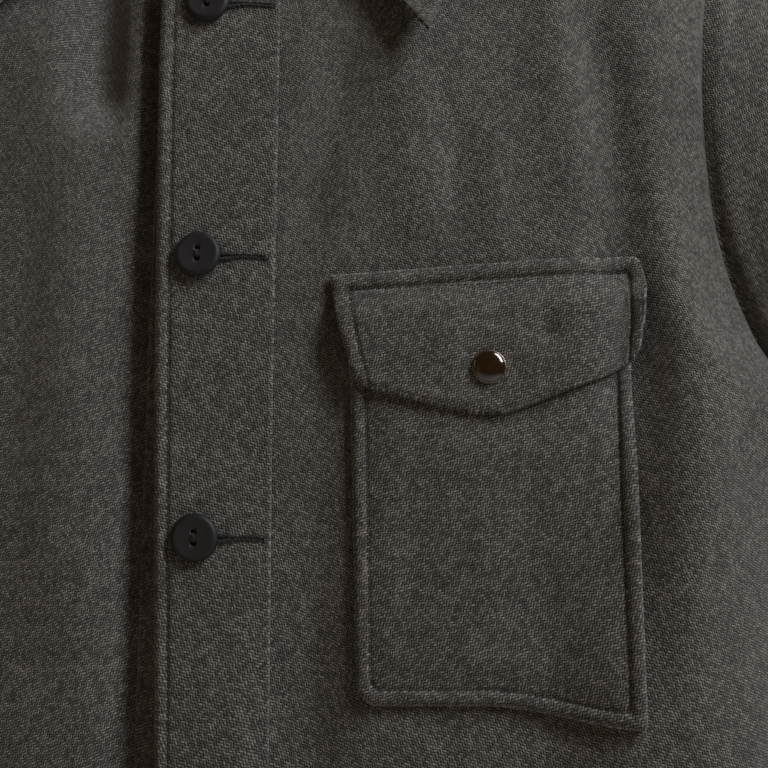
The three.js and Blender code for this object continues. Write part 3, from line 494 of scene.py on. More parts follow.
def wall(outer, inner, uv, closed=False):
    """Points, faces and places on the cut of a closed wall between two grids."""
    count = outer.shape[0] * outer.shape[1]
    index = np.arange(count).reshape(outer.shape[:2])
    middle = (outer + inner).reshape(-1, 3) / 2
    if closed:
        loops = [(index[:, 0], index[:, 1], 1), (index[:, -1], index[:, -2], -1)]
    else:
        inside = np.pad(index[1:-1, 1:-1], 1, mode="edge")
        ring = lambda a: np.concatenate([a[:-1, 0], a[-1, :-1], a[:0:-1, -1], a[0, :0:-1]])
        loops = [(ring(index), ring(inside), 1)]
    points, uvs = [outer.reshape(-1, 3), inner.reshape(-1, 3)], [uv.reshape(-1, 2)] * 2
    faces = [quads(index, closed), quads(index, closed)[:, ::-1] + count]
    start = 2 * count
    for loop, inside, way in loops:
        thick = np.linalg.norm((outer - inner).reshape(-1, 3)[loop], axis=-1, keepdims=True)
        points.append(middle[loop] + unit(middle[loop] - middle[inside]) * thick * RIM)
        uvs.append(uv.reshape(-1, 2)[loop])
        rim = start + np.arange(len(loop))
        turned = lambda a: np.roll(a, -1)
        faces.append(np.stack([loop, turned(loop), turned(rim), rim], -1)[:, ::way])
        faces.append(np.stack([rim, turned(rim), turned(loop) + count, loop + count], -1)[:, ::way])
        start += len(loop)
    return np.concatenate(points), faces, np.concatenate(uvs)


def volume(points, faces):
    total = 0
    for f in faces:
        a = points[f[:, 0]]
        for n in range(1, f.shape[1] - 1):
            total += np.einsum("ij,ij->", a, np.cross(points[f[:, n]], points[f[:, n + 1]]))
    return total


def add_mesh(name, points, faces, material, uv=None):
    """A mesh object from points in millimetres, with its faces turned outwards."""
    if volume(points - points.mean(0), faces) < 0:
        faces = [f[:, ::-1] for f in faces]
    corners = np.concatenate([f.ravel() for f in faces]).astype(np.int32)
    sizes = np.concatenate([np.full(len(f), f.shape[1]) for f in faces])
    mesh = bpy.data.meshes.new(name)
    mesh.vertices.add(len(points))
    mesh.vertices.foreach_set("co", to_frame(points).astype(np.float32).ravel())
    mesh.loops.add(len(corners))
    mesh.loops.foreach_set("vertex_index", corners)
    mesh.polygons.add(len(sizes))
    mesh.polygons.foreach_set("loop_start", (np.cumsum(sizes) - sizes).astype(np.int32))
    mesh.polygons.foreach_set("use_smooth", np.ones(len(sizes), bool))
    mesh.update(calc_edges=True)
    if uv is not None:
        layer = mesh.uv_layers.new(name="cut")
        layer.data.foreach_set("uv", (uv[corners] / 1000).astype(np.float32).ravel())
    mesh.validate()
    mesh.materials.append(material)
    thing = bpy.data.objects.new(name, mesh)
    bpy.context.scene.collection.objects.link(thing)
    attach(thing, "root")
    return thing


# Each sheet's cut: its width and length in metres, how it is held, what it rests on, and its area
# in square metres
SHEETS = {
    "left_front": ((0.35, 0.77), "hung", ["collar_stand"], 0.215),
    "right_front": ((0.36, 0.77), "hung", ["collar_stand"], 0.225),
    "back": ((0.62, 0.79), "hung", ["collar_stand"], 0.42),
    "left_sleeve": ((0.44, 0.64), "hung", ["left_front"], 0.215),
    "right_sleeve": ((0.44, 0.64), "hung", ["right_front"], 0.215),
    "collar_stand": ((0.42, 0.036), "stretched", ["back", "left_front", "right_front"], 0.013),
    "collar_leaf": ((0.56, 0.115), "folded", ["collar_stand"], 0.045),
    "placket": ((0.05, 0.67), "stretched", ["left_front"], 0.033),
    "button_band": ((0.05, 0.67), "stretched", ["right_front"], 0.033),
    "chest_pocket": ((0.115, 0.155), "stretched", ["left_front"], 0.0172),
    "pocket_flap": ((0.128, 0.062), "hung", ["left_front"], 0.0062),
}


def cloth(node, shape, twill="rising", closed=False):
    """A piece of cloth that stands for a node."""
    points, faces, uv = wall(shape["outer"], shape["inner"], shape["uv"], closed)
    piece = add_mesh(node + "_cloth", points, faces, MATERIALS[twill], uv)
    sheet = dict(zip(("flat", "held", "rests_on", "area"), SHEETS[node]))
    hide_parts(node)


def hem_groove(hem, turn):
    """How deep a hem's line of stitching lies, by the distance to the hem."""
    return GROOVE["deep"] * bell(hem - turn, HEM_GROOVE_WIDE)


def hem_thick(hem, turn):
    """How thick the cloth is, which is turned up at the hem."""
    return CLOTH + (CLOTH - HEM_PRESSED) * smooth((turn + 1.5 - hem) / 2)


# Panels


def side_rows(panel):
    """How far down each row of a panel's side edge is."""
    turns = np.linspace(0, math.pi, ARMHOLE_ROWS * SPLIT[panel]["armhole"] + 1)
    lower = np.linspace(UNDERARM_DROP, HEM_DROP, LOWER_ROWS * SPLIT[panel]["lower"] + 1)[1:]
    return np.concatenate([ARMHOLE_MIDDLE - ARMHOLE_HALF * np.cos(turns), lower])


def half_places(panel, table, sign):
    """x and down for each point of half of a panel."""
    face = "back" if panel == "back" else "front"
    last = len(table["top"]) - 1
    along_columns = np.linspace(0, last, last * SPLIT[panel]["columns"] + 1)
    top_x = np.interp(along_columns, range(last + 1), table["top"])
    low_x = np.interp(along_columns, range(last + 1), table["low"])
    turn = np.linspace(0, math.pi / 2, SIDE_STEPS * SPLIT[panel]["side"] + 1)[1:]
    share = np.sin(turn)
    side = side_rows(panel)
    fall = (side - side[0]) / (HEM_DROP - side[0])
    top = top_down(face, top_x)[:, None]
    hanging_down = mix(top, HEM_DROP, fall)
    hanging_x = mix(top_x[:, None], low_x[:, None], smooth((hanging_down - top) / SPREAD_DOWN))
    side_top = top_down(face, mix(FLAT_HALF, SHOULDER_HALF, share))[:, None]
    side_down = mix(side_top, HEM_DROP, fall)
    side_x = mix(FLAT_HALF, along(SIDE, "down", side_down, "half"), share[:, None])
    x, down = np.concatenate([hanging_x, side_x]), np.concatenate([hanging_down, side_down])
    return sign * x, down


def edge_x(down):
    """Where the left front's edge is."""
    return EDGE_X + along(EDGE_DRIFT, "down", down, "x")


def lengths(points, axis):
    """How far along a grid's lines each of its points is."""
    steps = np.linalg.norm(np.diff(points, axis=axis), axis=-1)
    start = np.zeros_like(np.take(steps, [0], axis=axis))
    return np.cumsum(np.concatenate([start, steps], axis=axis), axis=axis)


def panel_shape(panel):
    """A panel's outer grid, its directions, and each point's place on the flat cut."""
    if panel == "back":
        right, left = half_places(panel, BACK_COLUMNS, -1), half_places(panel, BACK_COLUMNS, 1)
        x, down = (np.concatenate([r[:0:-1], lf]) for r, lf in zip(right, left))
    elif panel == "left":
        x, down = half_places(panel, LEFT_COLUMNS, 1)
        near = 1 - smooth((x - EDGE_X) / EDGE_SPREAD)
        x = x + (along(EDGE_DRIFT, "down", down, "x") + EDGE_INSET) * near
    else:
        x, down = half_places(panel, RIGHT_COLUMNS, -1)
        x = x - EDGE_INSET * (1 - smooth((BAND_EDGE_X - x) / EDGE_SPREAD))
    points = body_point(panel, x, down)
    normals = grid_normals(points, False)
    middle = normals[len(normals) // 2, ARMHOLE_ROWS * SPLIT[panel]["armhole"]]
    if middle[1] * (1 if panel == "back" else -1) < 0:
        normals = -normals
    on_seam = np.zeros(x.shape, bool)
    on_seam[:, 0] = np.abs(x[:, 0]) >= NECK_HALF
    on_seam[-1, ARMHOLE_ROWS * SPLIT[panel]["armhole"]:] = True
    if panel == "back":
        on_seam[0] = on_seam[-1]
    normals[on_seam, 1] = 0
    normals = unit(normals)
    across, fall = lengths(points, 0), lengths(points, 1)
    sign = -1 if panel == "right" else 1
    uv = np.stack([x[:1] + sign * across, HEM_DROP + fall - fall[:, -1:]], -1)
    to_seam = np.minimum(fall, across[-1:] - across)
    if panel == "back":
        to_seam = np.minimum(to_seam, across)
    outer = points - normals * (SEAM_GROOVE["deep"] * bell(to_seam, SEAM_GROOVE["wide"]))[..., None]
    hem = fall[:, -1:] - fall
    outer -= normals * hem_groove(hem, HEM_TURN)[..., None]
    inner = points - normals * hem_thick(hem, HEM_TURN)[..., None]
    return {"outer": outer, "inner": inner, "normals": normals, "points": points, "uv": uv, "hem": hem}


# Sleeves


def armhole_ring(side):
    """The armhole's edge from the shoulder, down the front and up the back, as a left one."""
    step = 2
    front, back = SHAPES["left" if side > 0 else "right"], SHAPES["back"]
    mirror = np.array([side, 1, 1])
    down_front = slice(0, ARMHOLE_ROWS * SPLIT["left"]["armhole"] + 1, step)
    last = ARMHOLE_ROWS * SPLIT["back"]["armhole"]
    up_back = slice(last - step, 0, -step)
    back_line = -1 if side > 0 else 0
    join = lambda key: np.concatenate([front[key][-1, down_front], back[key][back_line, up_back]]) * mirror
    points, normals = join("points"), join("normals")
    half = ARMHOLE_ROWS * SPLIT["left"]["armhole"] // step
    points[[0, half], 1] = 0
    away = unit(np.cross(normals, np.roll(points, -1, 0) - np.roll(points, 1, 0)))
    return points, normals, away, np.arange(2 * half) / half


def sleeve_fold(section, turn):
    total = 0
    for at_section, at_turn, tall, wide, slant, rise in zip(*SLEEVE_FOLDS.values()):
        off = (turn - at_turn) / wide
        high = (section - at_section - slant * off) / tall
        total = total + rise * np.exp(-high * high - off * off)
    return total * smooth((section - 1) / 3) * smooth((LAST_SECTION - 1 - section) / 2)


def sleeve_point(section, turn, puff):
    """Points of a sleeve. turn runs from its outer edge to its front and inner edge."""
    value = lambda name: along(SLEEVE, "section", section, name)
    outer = at(value("outer_x"), -value("forward"), -value("outer_down"))
    inner = at(value("inner_x"), -value("forward"), -value("inner_down"))
    middle = (outer + inner) / 2
    long = np.linalg.norm(outer - middle, axis=-1) + puff
    a = np.radians(turn)
    deep = at(0, -(value("half") + puff) * np.sin(a), 0)
    return middle + unit(outer - middle) * (long * np.cos(a))[..., None] + deep


def sleeve_shape(side):
    points, normals, away, share = armhole_ring(side)
    section, turn = np.meshgrid(np.linspace(0, LAST_SECTION, LAST_SECTION * SECTION_SPLIT + 1), 180 * share)
    signed = np.where(turn > 180, turn - 360, turn)
    shift = points + away * SEAM_HALF - sleeve_point(section[:, 0], turn[:, 0], 0)
    keep = smooth(1 - section / ARMHOLE_FADE)[..., None]
    grid = sleeve_point(section, turn, sleeve_fold(section, signed)) + shift[:, None] * keep
    directions = grid_normals(grid, True)
    if directions[0, -1, 0] < 0:
        directions = -directions
    directions[:, 0] = normals
    fall = lengths(grid, 1)
    around = lengths(np.concatenate([grid, grid[:1]]), 0)[:-1]
    groove = -SEAM_GROOVE["deep"] * bell(fall, SEAM_GROOVE["wide"])
    groove += SLEEVE_HEAD["rise"] * bell(fall - SLEEVE_HEAD["down"], SLEEVE_HEAD["wide"])
    seam = bell((signed - SLEEVE_SEAM["turn"]) * SLEEVE_SEAM["mm_a_degree"], SLEEVE_SEAM["wide"])
    groove -= SLEEVE_SEAM["deep"] * seam * smooth(fall / SLEEVE_SEAM["fade"])
    hem = fall[:, -1:] - fall
    groove -= hem_groove(hem, CUFF_TURN)
    outer = grid + directions * groove[..., None]
    inner = grid - directions * hem_thick(hem, CUFF_TURN)[..., None]
    mirror = np.array([side, 1, 1])
    uv = np.stack([around, fall], -1)
    mirrored = {"outer": outer * mirror, "inner": inner * mirror, "normals": directions * mirror}
    return {**mirrored, "uv": uv, "hem": hem}


# Collar


def neck_places(front_left_x, front_right_x):
    """Places round the neckline, from the left front's edge round the back to the right front's."""
    def arc(panel, first, last):
        start, end = math.asin(first / NECK_HALF), math.asin(last / NECK_HALF)
        turn = np.linspace(start, end, NECK_STEPS[panel])
        x = NECK_HALF * np.sin(turn)
        return body_point(panel, x, top_down("back" if panel == "back" else "front", x))
    left = arc("left", front_left_x, NECK_HALF)[:-1]
    back = arc("back", NECK_HALF, -NECK_HALF)
    right = arc("right", -NECK_HALF, front_right_x)[1:]
    side = np.concatenate([np.ones(len(left)), np.sign(back[:, 0]), -np.ones(len(right))])
    point = np.concatenate([left, back, right])
    deep = np.where(point[:, 1] < 0, NECK_FRONT_DEPTH, NECK_BACK_DEPTH)
    out = unit(at(point[:, 0] / NECK_HALF**2, point[:, 1] / deep**2, 0))
    turn = np.degrees(np.arctan2(np.abs(point[:, 0]) / NECK_HALF, -point[:, 1] / deep))
    side = np.where(side == 0, 1, side)
    return {"point": point, "side": side, "out": out, "turn": turn}


def stand_point(places, share):
    back = smooth(places["turn"] / 180)
    high = mix(STAND_FRONT, STAND_BACK, back) * share
    lean = np.radians(mix(STAND_FRONT_LEAN, STAND_BACK_LEAN, back))
    up = at(0, 0, SEAM_HALF + high * np.cos(lean))
    return places["point"] + up - places["out"] * (high * np.sin(lean))[..., None]


def shoulder_normal(face, x, down):
    """The outward direction near the shoulder line, where the panels turn over it."""
    high = (down - shoulder_down(x)) / SHOULDER_ROUND
    out = np.sqrt(1 - (1 - clamp(high)) ** 2) / along(DEPTH, "down", down, face)
    up = (1 - clamp(high)) / SHOULDER_ROUND
    way = -1 if face == "front" else 1
    return unit(at(SHOULDER_SLOPE * up * np.sign(x), way * out, up))


def by_face(front, value):
    """value("front") where front is true, and value("back") elsewhere."""
    return np.where(np.expand_dims(front, -1), value("front"), value("back"))


def leaf_edge(places):
    """The leaf's lower edge, standing off the body."""
    value = lambda name: along(LEAF_EDGE, "turn", places["turn"], name)
    x = value("x")
    down = np.maximum(value("down"), shoulder_down(x))
    high = clamp((down - shoulder_down(x)) / SHOULDER_ROUND)

    def place(face):
        reach = along(DEPTH, "down", down, face) * np.sqrt(1 - (1 - high) ** 2)
        lift = shoulder_normal(face, x, down) * value("lift")[:, None]
        return at(x, -reach if face == "front" else reach, -down) + lift

    return by_face(places["turn"] < 90, place) * at(places["side"], 1, 1)


def lift_off_body(p, clear):
    """Moves points outwards where they are nearer to the body than clear."""
    middle = shoulder_down(p[..., 0]) + SHOULDER_ROUND

    def lifted(face):
        depth = along(DEPTH, "down", -p[..., 2], face)
        turn = np.arctan2(np.maximum(0, middle + p[..., 2]) / SHOULDER_ROUND, np.abs(p[..., 1]) / depth)
        down = np.where(p[..., 2] > -middle, middle - SHOULDER_ROUND * np.sin(turn), -p[..., 2])
        reach = depth * np.cos(turn)
        surface = at(p[..., 0], -reach if face == "front" else reach, -down)
        normal = shoulder_normal(face, p[..., 0], down)
        off = np.einsum("...i,...i->...", p - surface, normal)
        return p + normal * np.maximum(0, clear - off)[..., None]

    return by_face(p[..., 1] < 0, lifted)


def curve_through(points, steps):
    """Points along a centripetal curve through a list of points, the first axis."""
    first, last = 2 * points[0] - points[1], 2 * points[-1] - points[-2]
    p = np.concatenate([first[None], points, last[None]])
    found = []
    for s in np.linspace(0, len(points) - 1, steps + 1):
        i = min(int(s), len(points) - 2)
        t = s - i
        a, b, c, d = p[i:i + 4]
        gap = lambda m, n: np.maximum(np.sqrt(np.linalg.norm(m - n, axis=-1, keepdims=True)), 1e-4)
        u, v, w = gap(a, b), gap(b, c), gap(c, d)
        leave = ((b - a) / u - (c - a) / (u + v) + (c - b) / v) * v
        arrive = ((c - b) / v - (d - b) / (v + w) + (d - c) / w) * v
        found.append(hermite(t, b, leave, c, arrive))
    return np.stack(found, 1)


def leaf_grid(places):
    """Lines down the leaf: up from the stand's inside, over the roll and down to the edge."""
    top = stand_point(places, 1)
    upwards = unit(top - stand_point(places, 0))
    roll = [
        top + places["out"] * (out - STAND_CLOTH) + upwards * up
        for out, up in zip(LEAF_ROLL["out"], LEAF_ROLL["up"])
    ]
    edge = leaf_edge(places)
    start, end = LEAF_BULGE_TURN["start"], LEAF_BULGE_TURN["end"]
    front = smooth((start - places["turn"]) / (start - end))
    fall = []
    for share, spare, bulge, swing in zip(*LEAF_FALL.values()):
        line = mix(roll[-1], edge, share) + at(swing * front * places["side"], 0, 0)
        fall.append(lift_off_body(line, LEAF_CLEAR + spare + bulge * front))
    grid = curve_through(np.stack([*roll, *fall, edge]), LEAF_STEPS)
    lower = np.arange(LEAF_STEPS + 1) > LEAF_STEPS / 2
    return np.where(lower[:, None], lift_off_body(grid, LEAF_CLEAR), grid)


def leaf_shape():
    places = neck_places(LEAF_START, -LEAF_START)
    grid = leaf_grid(places)
    normals = grid_normals(grid, False)
    if normals[len(grid) // 2, LEAF_STEPS - 1, 1] < 0:
        normals = -normals
    across, fall = lengths(grid, 0), lengths(grid, 1)
    ends = np.minimum(across, across[-1:] - across)
    inside = np.minimum(fall[:, -1:] - fall, np.where(fall > 14, ends, 99))
    puff = 0.25 * smooth(inside / 2) - GROOVE["deep"] * bell(inside - LEAF_STITCH_IN, GROOVE["wide"])
    outer = grid + normals * puff[..., None]
    inner = grid - normals * (LEAF_CLOTH - 0.5 * (1 - smooth(inside / 1.5)))[..., None]
    uv = np.stack([across, fall], -1)
    return {"outer": outer, "inner": inner, "normals": normals, "uv": uv, "fall": fall}


# Strips, the pocket and the flap, which lie on a front


def fine_places(marks, near, far):
    """Places from the first mark to the last, close together round each mark."""
    found = [marks[0]]
    while found[-1] < marks[-1] - 1e-6:
        gap = min(abs(found[-1] - m) for m in marks)
        found.append(min(marks[-1], found[-1] + near + (far - near) * float(smooth((gap - 1.2) / 4))))
    return np.array(found)


# A seam's waves: how many there are in a millimetre, and how high
PUCKER_WAVES = ((0.071, 0.5), (0.113, 0.9), (0.192, 0.6), (0.31, 0.35))


def pucker(distance, seed):
    """A soft uneven wave along a seam."""
    total = 0
    for n, (rate, size) in enumerate(PUCKER_WAVES):
        total = total + size * np.sin(2 * math.pi * distance * rate + seed * (n + 1.7))
    return total


STRIP_ROWS = 300
# How much further a strip stands off the front at its folded edge than at its seam
STRIP_PROUD = 1.6

# How the strip's folded edge goes round the front's own edge: outer and inner places
STRIP_TURN = rows(
    "outer_in outer_high inner_in inner_high",
    (1.3, 1.62, 1.8, 0.06), (0.6, 1.28, 1.72, 0.05), (0.16, 0.66, 1.65, -0.1),
    (0, -0.15, 1.62, -0.7), (0.04, -0.95, 1.62, -1.1), (0.3, -1.65, 1.62, -1.55),
)


def strip_shape(panel, sign, edge_of, inner_x, thick, seed):
    """A band on a front that turns round the front's edge. sign is the way in from the edge."""
    wide = sign * (inner_x - float(edge_of(np.array(300.0))))
    ins = fine_places([2.2, STITCH_IN, wide], 0.4, 2.2)[::-1]
    fall = np.linspace(0, 1, STRIP_ROWS)
    flat = np.minimum(wide - ins, 60)
    lip = 0.14 * bell(flat - 1, 0.6) - 0.2 * bell(flat, 0.5)
    high = LAYER_LOW + thick + lip + 0.55 * bell(ins - 2.3, 2)
    turn = STRIP_TURN
    across = np.concatenate([ins, turn["outer_in"]])
    high = np.concatenate([high, turn["outer_high"] * thick / 1.6])
    under = np.concatenate([ins, turn["inner_in"]])
    low = np.concatenate([np.full(len(ins), 0.06), turn["inner_high"]])

    def grid(inward, height, outer):
        x0 = inner_x - sign * (wide - inward)[:, None]
        top = top_down("front", np.clip(x0, -77, 77))
        down = mix(top, HEM_DROP, fall)
        share = np.broadcast_to((inward / wide)[:, None], down.shape)
        x = mix(edge_of(down), inner_x, share)
        lift = height[:, None] + STRIP_PROUD * (1 - share) * (height[:, None] > 0.5)
        if outer:
            lift += -GROOVE["deep"] * bell(inward[:, None] - STITCH_IN, GROOVE["wide"])
            lift += 0.09 * pucker(down, seed) * bell(inward[:, None] - STITCH_IN, 4)
            lift += 0.05 * pucker(down + 31, seed + 2) * bell((wide - inward)[:, None], 5)
        return on_body(panel, x, down, lift)[0], x, down

    outer, x, down = grid(across, high, True)
    inner = grid(under, low, False)[0]
    return {"outer": outer, "inner": inner, "uv": np.stack([x, down], -1)}


def pocket_side(name, down):
    t = (down - POCKET["mouth_down"]) / (POCKET["right_down"] - POCKET["mouth_down"])
    return mix(POCKET[f"{name}_top"], POCKET[f"{name}_low"], t)


def pocket_bottom(share):
    """How far down the pocket's bottom edge is at a share of its width, with a rounded corner."""
    sag = smooth((share - POCKET_SAG_START) / (1 - POCKET_SAG_START))
    left = clamp(1 - share * POCKET_WIDE / POCKET_CORNER)
    right = clamp(1 - (1 - share) * POCKET_WIDE / (POCKET_CORNER / 3))
    low = mix(POCKET["left_down"], POCKET["right_down"], sag)
    return low - POCKET_CORNER * (1 - np.sqrt(1 - left**2)) - POCKET_CORNER / 3 * (1 - np.sqrt(1 - right**2))


def pocket_place(share, depth_share):
    """x, down and the distances to the pocket's left, right and bottom edge."""
    bottom = pocket_bottom(share)
    down = mix(POCKET["mouth_down"], bottom, depth_share)
    left, right = pocket_side("left", down), pocket_side("right", down)
    x = mix(left, right, share)
    return x, down, (x - left, right - x, bottom - down)


def soft_least(distances, power=5):
    """The least of some distances, with its corners rounded."""
    return sum(np.maximum(d, 1e-3) ** -power for d in distances) ** (-1 / power)


# Soft forms on the pocket and on the flap: middle, sizes across and along, turn and rise
RELIEF_COLUMNS = "x down wide tall turn rise"
POCKET_RELIEF = rows(
    RELIEF_COLUMNS,
    (110, 345, 15, 60, 4, 0.9),
    (86, 350, 6, 44, -3, -0.5),
    (134, 352, 8, 50, 6, -0.8),
    (152, 384, 7, 24, -38, 1.3),
    (143, 392, 6, 20, -38, -1.2),
    (160, 372, 5, 30, -8, -0.7),
    (120, 312, 26, 9, 0, 0.8),
    (74, 396, 5, 14, -30, 0.5),
)
FLAP_RELIEF = rows(
    RELIEF_COLUMNS,
    (100, 266, 7, 15, 8, 1.4),
    (124, 258, 7, 9, -20, -1.1),
    (140, 264, 8, 10, 15, -2.2),
    (159, 256, 6, 16, -62, 1.7),
    (133, 254, 4, 7, 40, 0.7),
    (150, 276, 14, 7, -20, 0.6),
    (85, 276, 10, 10, 0, 0.5),
    (117.4, 280.2, 11, 11, 0, -0.8),
    (117.4, 268, 6, 6, 0, 0.7),
    (74, 256, 5, 9, 20, -0.5),
    (168, 268, 6, 8, 20, 0.5),
)


def relief(table, x, down):
    total = 0
    for mid_x, mid_down, wide, tall, turn, rise in zip(*table.values()):
        c, s = math.cos(math.radians(turn)), math.sin(math.radians(turn))
        u = (x - mid_x) * c - (down - mid_down) * s
        v = (x - mid_x) * s + (down - mid_down) * c
        total = total + rise * np.exp(-((u / wide) ** 2) - (v / tall) ** 2)
    return total


def pocket_high(x, down, distances):
    inside = soft_least(distances)
    high = along(POCKET_SECTION, "inside", inside, "high")
    below = down - POCKET["mouth_down"]
    high = mix(POCKET_MOUTH["high"], high, smooth((below - POCKET_MOUTH["start"]) / POCKET_MOUTH["long"]))
    free = smooth((inside - POCKET_BAND) / 10) * smooth(below / 30)
    seam = bell(inside - POCKET_BAND, 3)
    wave = 0.1 * pucker(x + down, 1.3) * seam
    return high + relief(POCKET_RELIEF, x, down) * free + wave, inside


def pocket_shape():
    marks = [0, POCKET_BAND, POCKET_WIDE - POCKET_BAND, POCKET_WIDE]
    across = fine_places(marks, 0.45, 1.6) / POCKET_WIDE
    deep = POCKET["left_down"] - POCKET["mouth_down"]
    fall = fine_places([0, deep - POCKET_BAND, deep], 0.5, 1.7) / deep
    share, depth_share = np.meshgrid(across, fall, indexing="ij")
    x, down, distances = pocket_place(share, depth_share)
    high, inside = pocket_high(x, down, distances)
    free = smooth((inside - POCKET_BAND) / POCKET_FREE_LONG)
    return laid_on(x, down, high, mix(BACK_OFF, high - POCKET_CLOTH, free))


def flap_place(across, downward):
    """x, down and the flap's top at a share of its width and of its height."""
    f = FLAP
    bow = np.sin(math.pi * downward)
    left = mix(f["top_left_x"], f["low_left_x"], downward) - FLAP_LEFT_BOW * bow
    right = mix(f["top_right_x"], f["low_right_x"], downward) + FLAP_RIGHT_BOW * bow
    x = mix(left, right, across)
    top = mix(f["top_left_down"], f["top_right_down"], across)
    to_tip = (x - f["low_left_x"]) / (f["tip_x"] - f["low_left_x"])
    past_tip = (x - f["tip_x"]) / (f["low_right_x"] - f["tip_x"])
    left_edge = np.exp(-mix(f["low_left_down"] - f["tip_down"], 0, to_tip) / FLAP_TIP_SOFT)
    right_edge = np.exp(-mix(0, f["low_right_down"] - f["tip_down"], past_tip) / FLAP_TIP_SOFT)
    low = f["tip_down"] - FLAP_TIP_SOFT * np.log(left_edge + right_edge)
    corner = lambda near, r: r * (1 - np.sqrt(1 - clamp(1 - near / FLAP_CORNER) ** 2))
    bottom = low - corner(right - x, FLAP_CORNER) - corner(x - left, FLAP_CORNER / 2)
    down = mix(top + corner(right - x, FLAP_CORNER / 2), bottom, downward)
    return x, down, top, (down - top, x - left, right - x, bottom - down)


def flap_high(x, down, top, distances):
    from_top, from_left, from_right, from_bottom = distances
    climb = smooth((down - top - FLAP_RISE_START) / FLAP_RISE_LONG)
    stitched = soft_least((from_top, from_left, from_right), 8)
    rim = soft_least(distances, 4)
    sides = np.minimum(from_left, from_right)
    held = smooth(1 - (from_bottom - 2) / 20)
    groove = GROOVE["deep"] * bell(stitched - FLAP_STITCH_IN, GROOVE["wide"])
    groove *= np.where(sides < from_top, 1 - 0.45 * held * (from_left < from_right), 1.15)
    wave = 0.16 * pucker(x * 1.1 + down * 0.8, 4.1) * bell(stitched - FLAP_STITCH_IN, 4)
    puff = 0.5 * smooth(rim / 2.4) + 0.2 * bell(rim - 3, 2)
    high = POCKET_GAP + FLAP_RISE * climb + FLAP_CLOTH - 0.55 + puff - groove + wave
    return high + relief(FLAP_RELIEF, x, down) * smooth((rim - 1) / 7)


def flap_shape():
    wide, tall, side = FLAP_SPREAD.values()
    across = fine_places([0, side, wide - side, wide], 0.5, 1.3) / wide
    fall = fine_places([0, FLAP_STITCH_IN, tall], 0.45, 1.2) / tall
    a, d = np.meshgrid(across, fall, indexing="ij")
    x, down, top, distances = flap_place(a, d)
    high = flap_high(x, down, top, distances)
    return laid_on(x, down, high, high - FLAP_CLOTH + BACK_OFF)


# Sewing


def turns(sides):
    return np.arange(sides) * 2 * math.pi / sides


def stitches(path, normals, sunk=0.1, size=STITCH):
    """Short threads along a path, each one arched out of the cloth and back into it."""
    sections, sides = 5, 6
    length = lengths(path, 0)
    lead = min(0.4, (length[-1] - size["long"]) / 2)
    starts = np.arange(lead, length[-1] - size["long"], size["pitch"])
    t = np.linspace(0, 1, sections)
    wanted = starts[:, None] + t * size["long"]
    pick = lambda a: np.stack([np.interp(wanted, length, a[:, k]) for k in range(3)], -1)
    middle, normal = pick(path), unit(pick(normals))
    arch = size["thick"] * (0.9 * np.sin(math.pi * t) - sunk / size["thick"])
    middle = middle + normal * arch[:, None]
    ahead = unit(np.gradient(middle, axis=1))
    across = unit(np.cross(normal, ahead))
    normal = np.cross(ahead, across)
    radius = size["thick"] * np.sqrt(np.maximum(0.03, 1 - (2 * t - 1) ** 4))
    a = turns(sides)
    ring = across[..., None, :] * np.cos(a)[:, None] + normal[..., None, :] * np.sin(a)[:, None]
    points = middle[..., None, :] + ring * radius[:, None, None]
    index = np.arange(points[..., 0].size).reshape(points.shape[:3])
    b = np.roll(index, -1, 2)
    side = np.stack([index[:, :-1], b[:, :-1], b[:, 1:], index[:, 1:]], -1).reshape(-1, 4)
    return points.reshape(-1, 3), [side, index[:, 0, ::-1], index[:, -1]]


def joined(parts):
    """One list of points and faces from several."""
    points, faces, start = [], [], 0
    for p, f in parts:
        points.append(p)
        faces += [a + start for a in f]
        start += len(p)
    return np.concatenate(points), faces


def trim(name, parts, material="thread"):
    """Small joined meshes that lie on a piece."""
    thing = add_mesh(name, *joined(parts), MATERIALS[material])


# Buttons and the snap


def lathe(profile, sides):
    """A solid turned about z, from its lower middle to its upper middle."""
    profile = np.array(profile, float)
    a = turns(sides)
    rings = profile[1:-1]
    points = at(rings[:, :1] * np.cos(a), rings[:, :1] * np.sin(a), rings[:, 1:])
    index = np.arange(len(rings) * sides).reshape(len(rings), sides)
    b = np.roll(index, -1, 1)
    side = np.stack([index[:-1], b[:-1], b[1:], index[1:]], -1).reshape(-1, 4)
    poles = np.array([[0, 0, profile[0, 1]], [0, 0, profile[-1, 1]]])
    low = np.stack([np.full(sides, index.size), b[0], index[0]], -1)
    high = np.stack([np.full(sides, index.size + 1), index[-1], b[-1]], -1)
    return np.concatenate([points.reshape(-1, 3), poles]), [side, low, high]


def upright(normal):
    """The directions sideways and upwards on a surface."""
    side = unit(np.cross([0, 0, 1.0], normal))
    return side, np.cross(normal, side)


def stand_on(points, middle, normal):
    """Turns points made along +z so that they stand on a surface, with +y kept upwards."""
    return points @ np.stack([*upright(normal), normal]) + middle


BUTTON_PROFILE = (
    (0, 0), (6.8, 0), (8.2, 0.15), (9.2, 0.6), (9.4, 1.1), (9.3, 1.6), (8.9, 2.2), (8.45, 2.65), (8.1, 2.9),
    (7.75, 3.0), (7.3, 3.0), (6.4, 2.9), (5, 2.78), (3, 2.7), (1.5, 2.68), (0, 2.68),
)


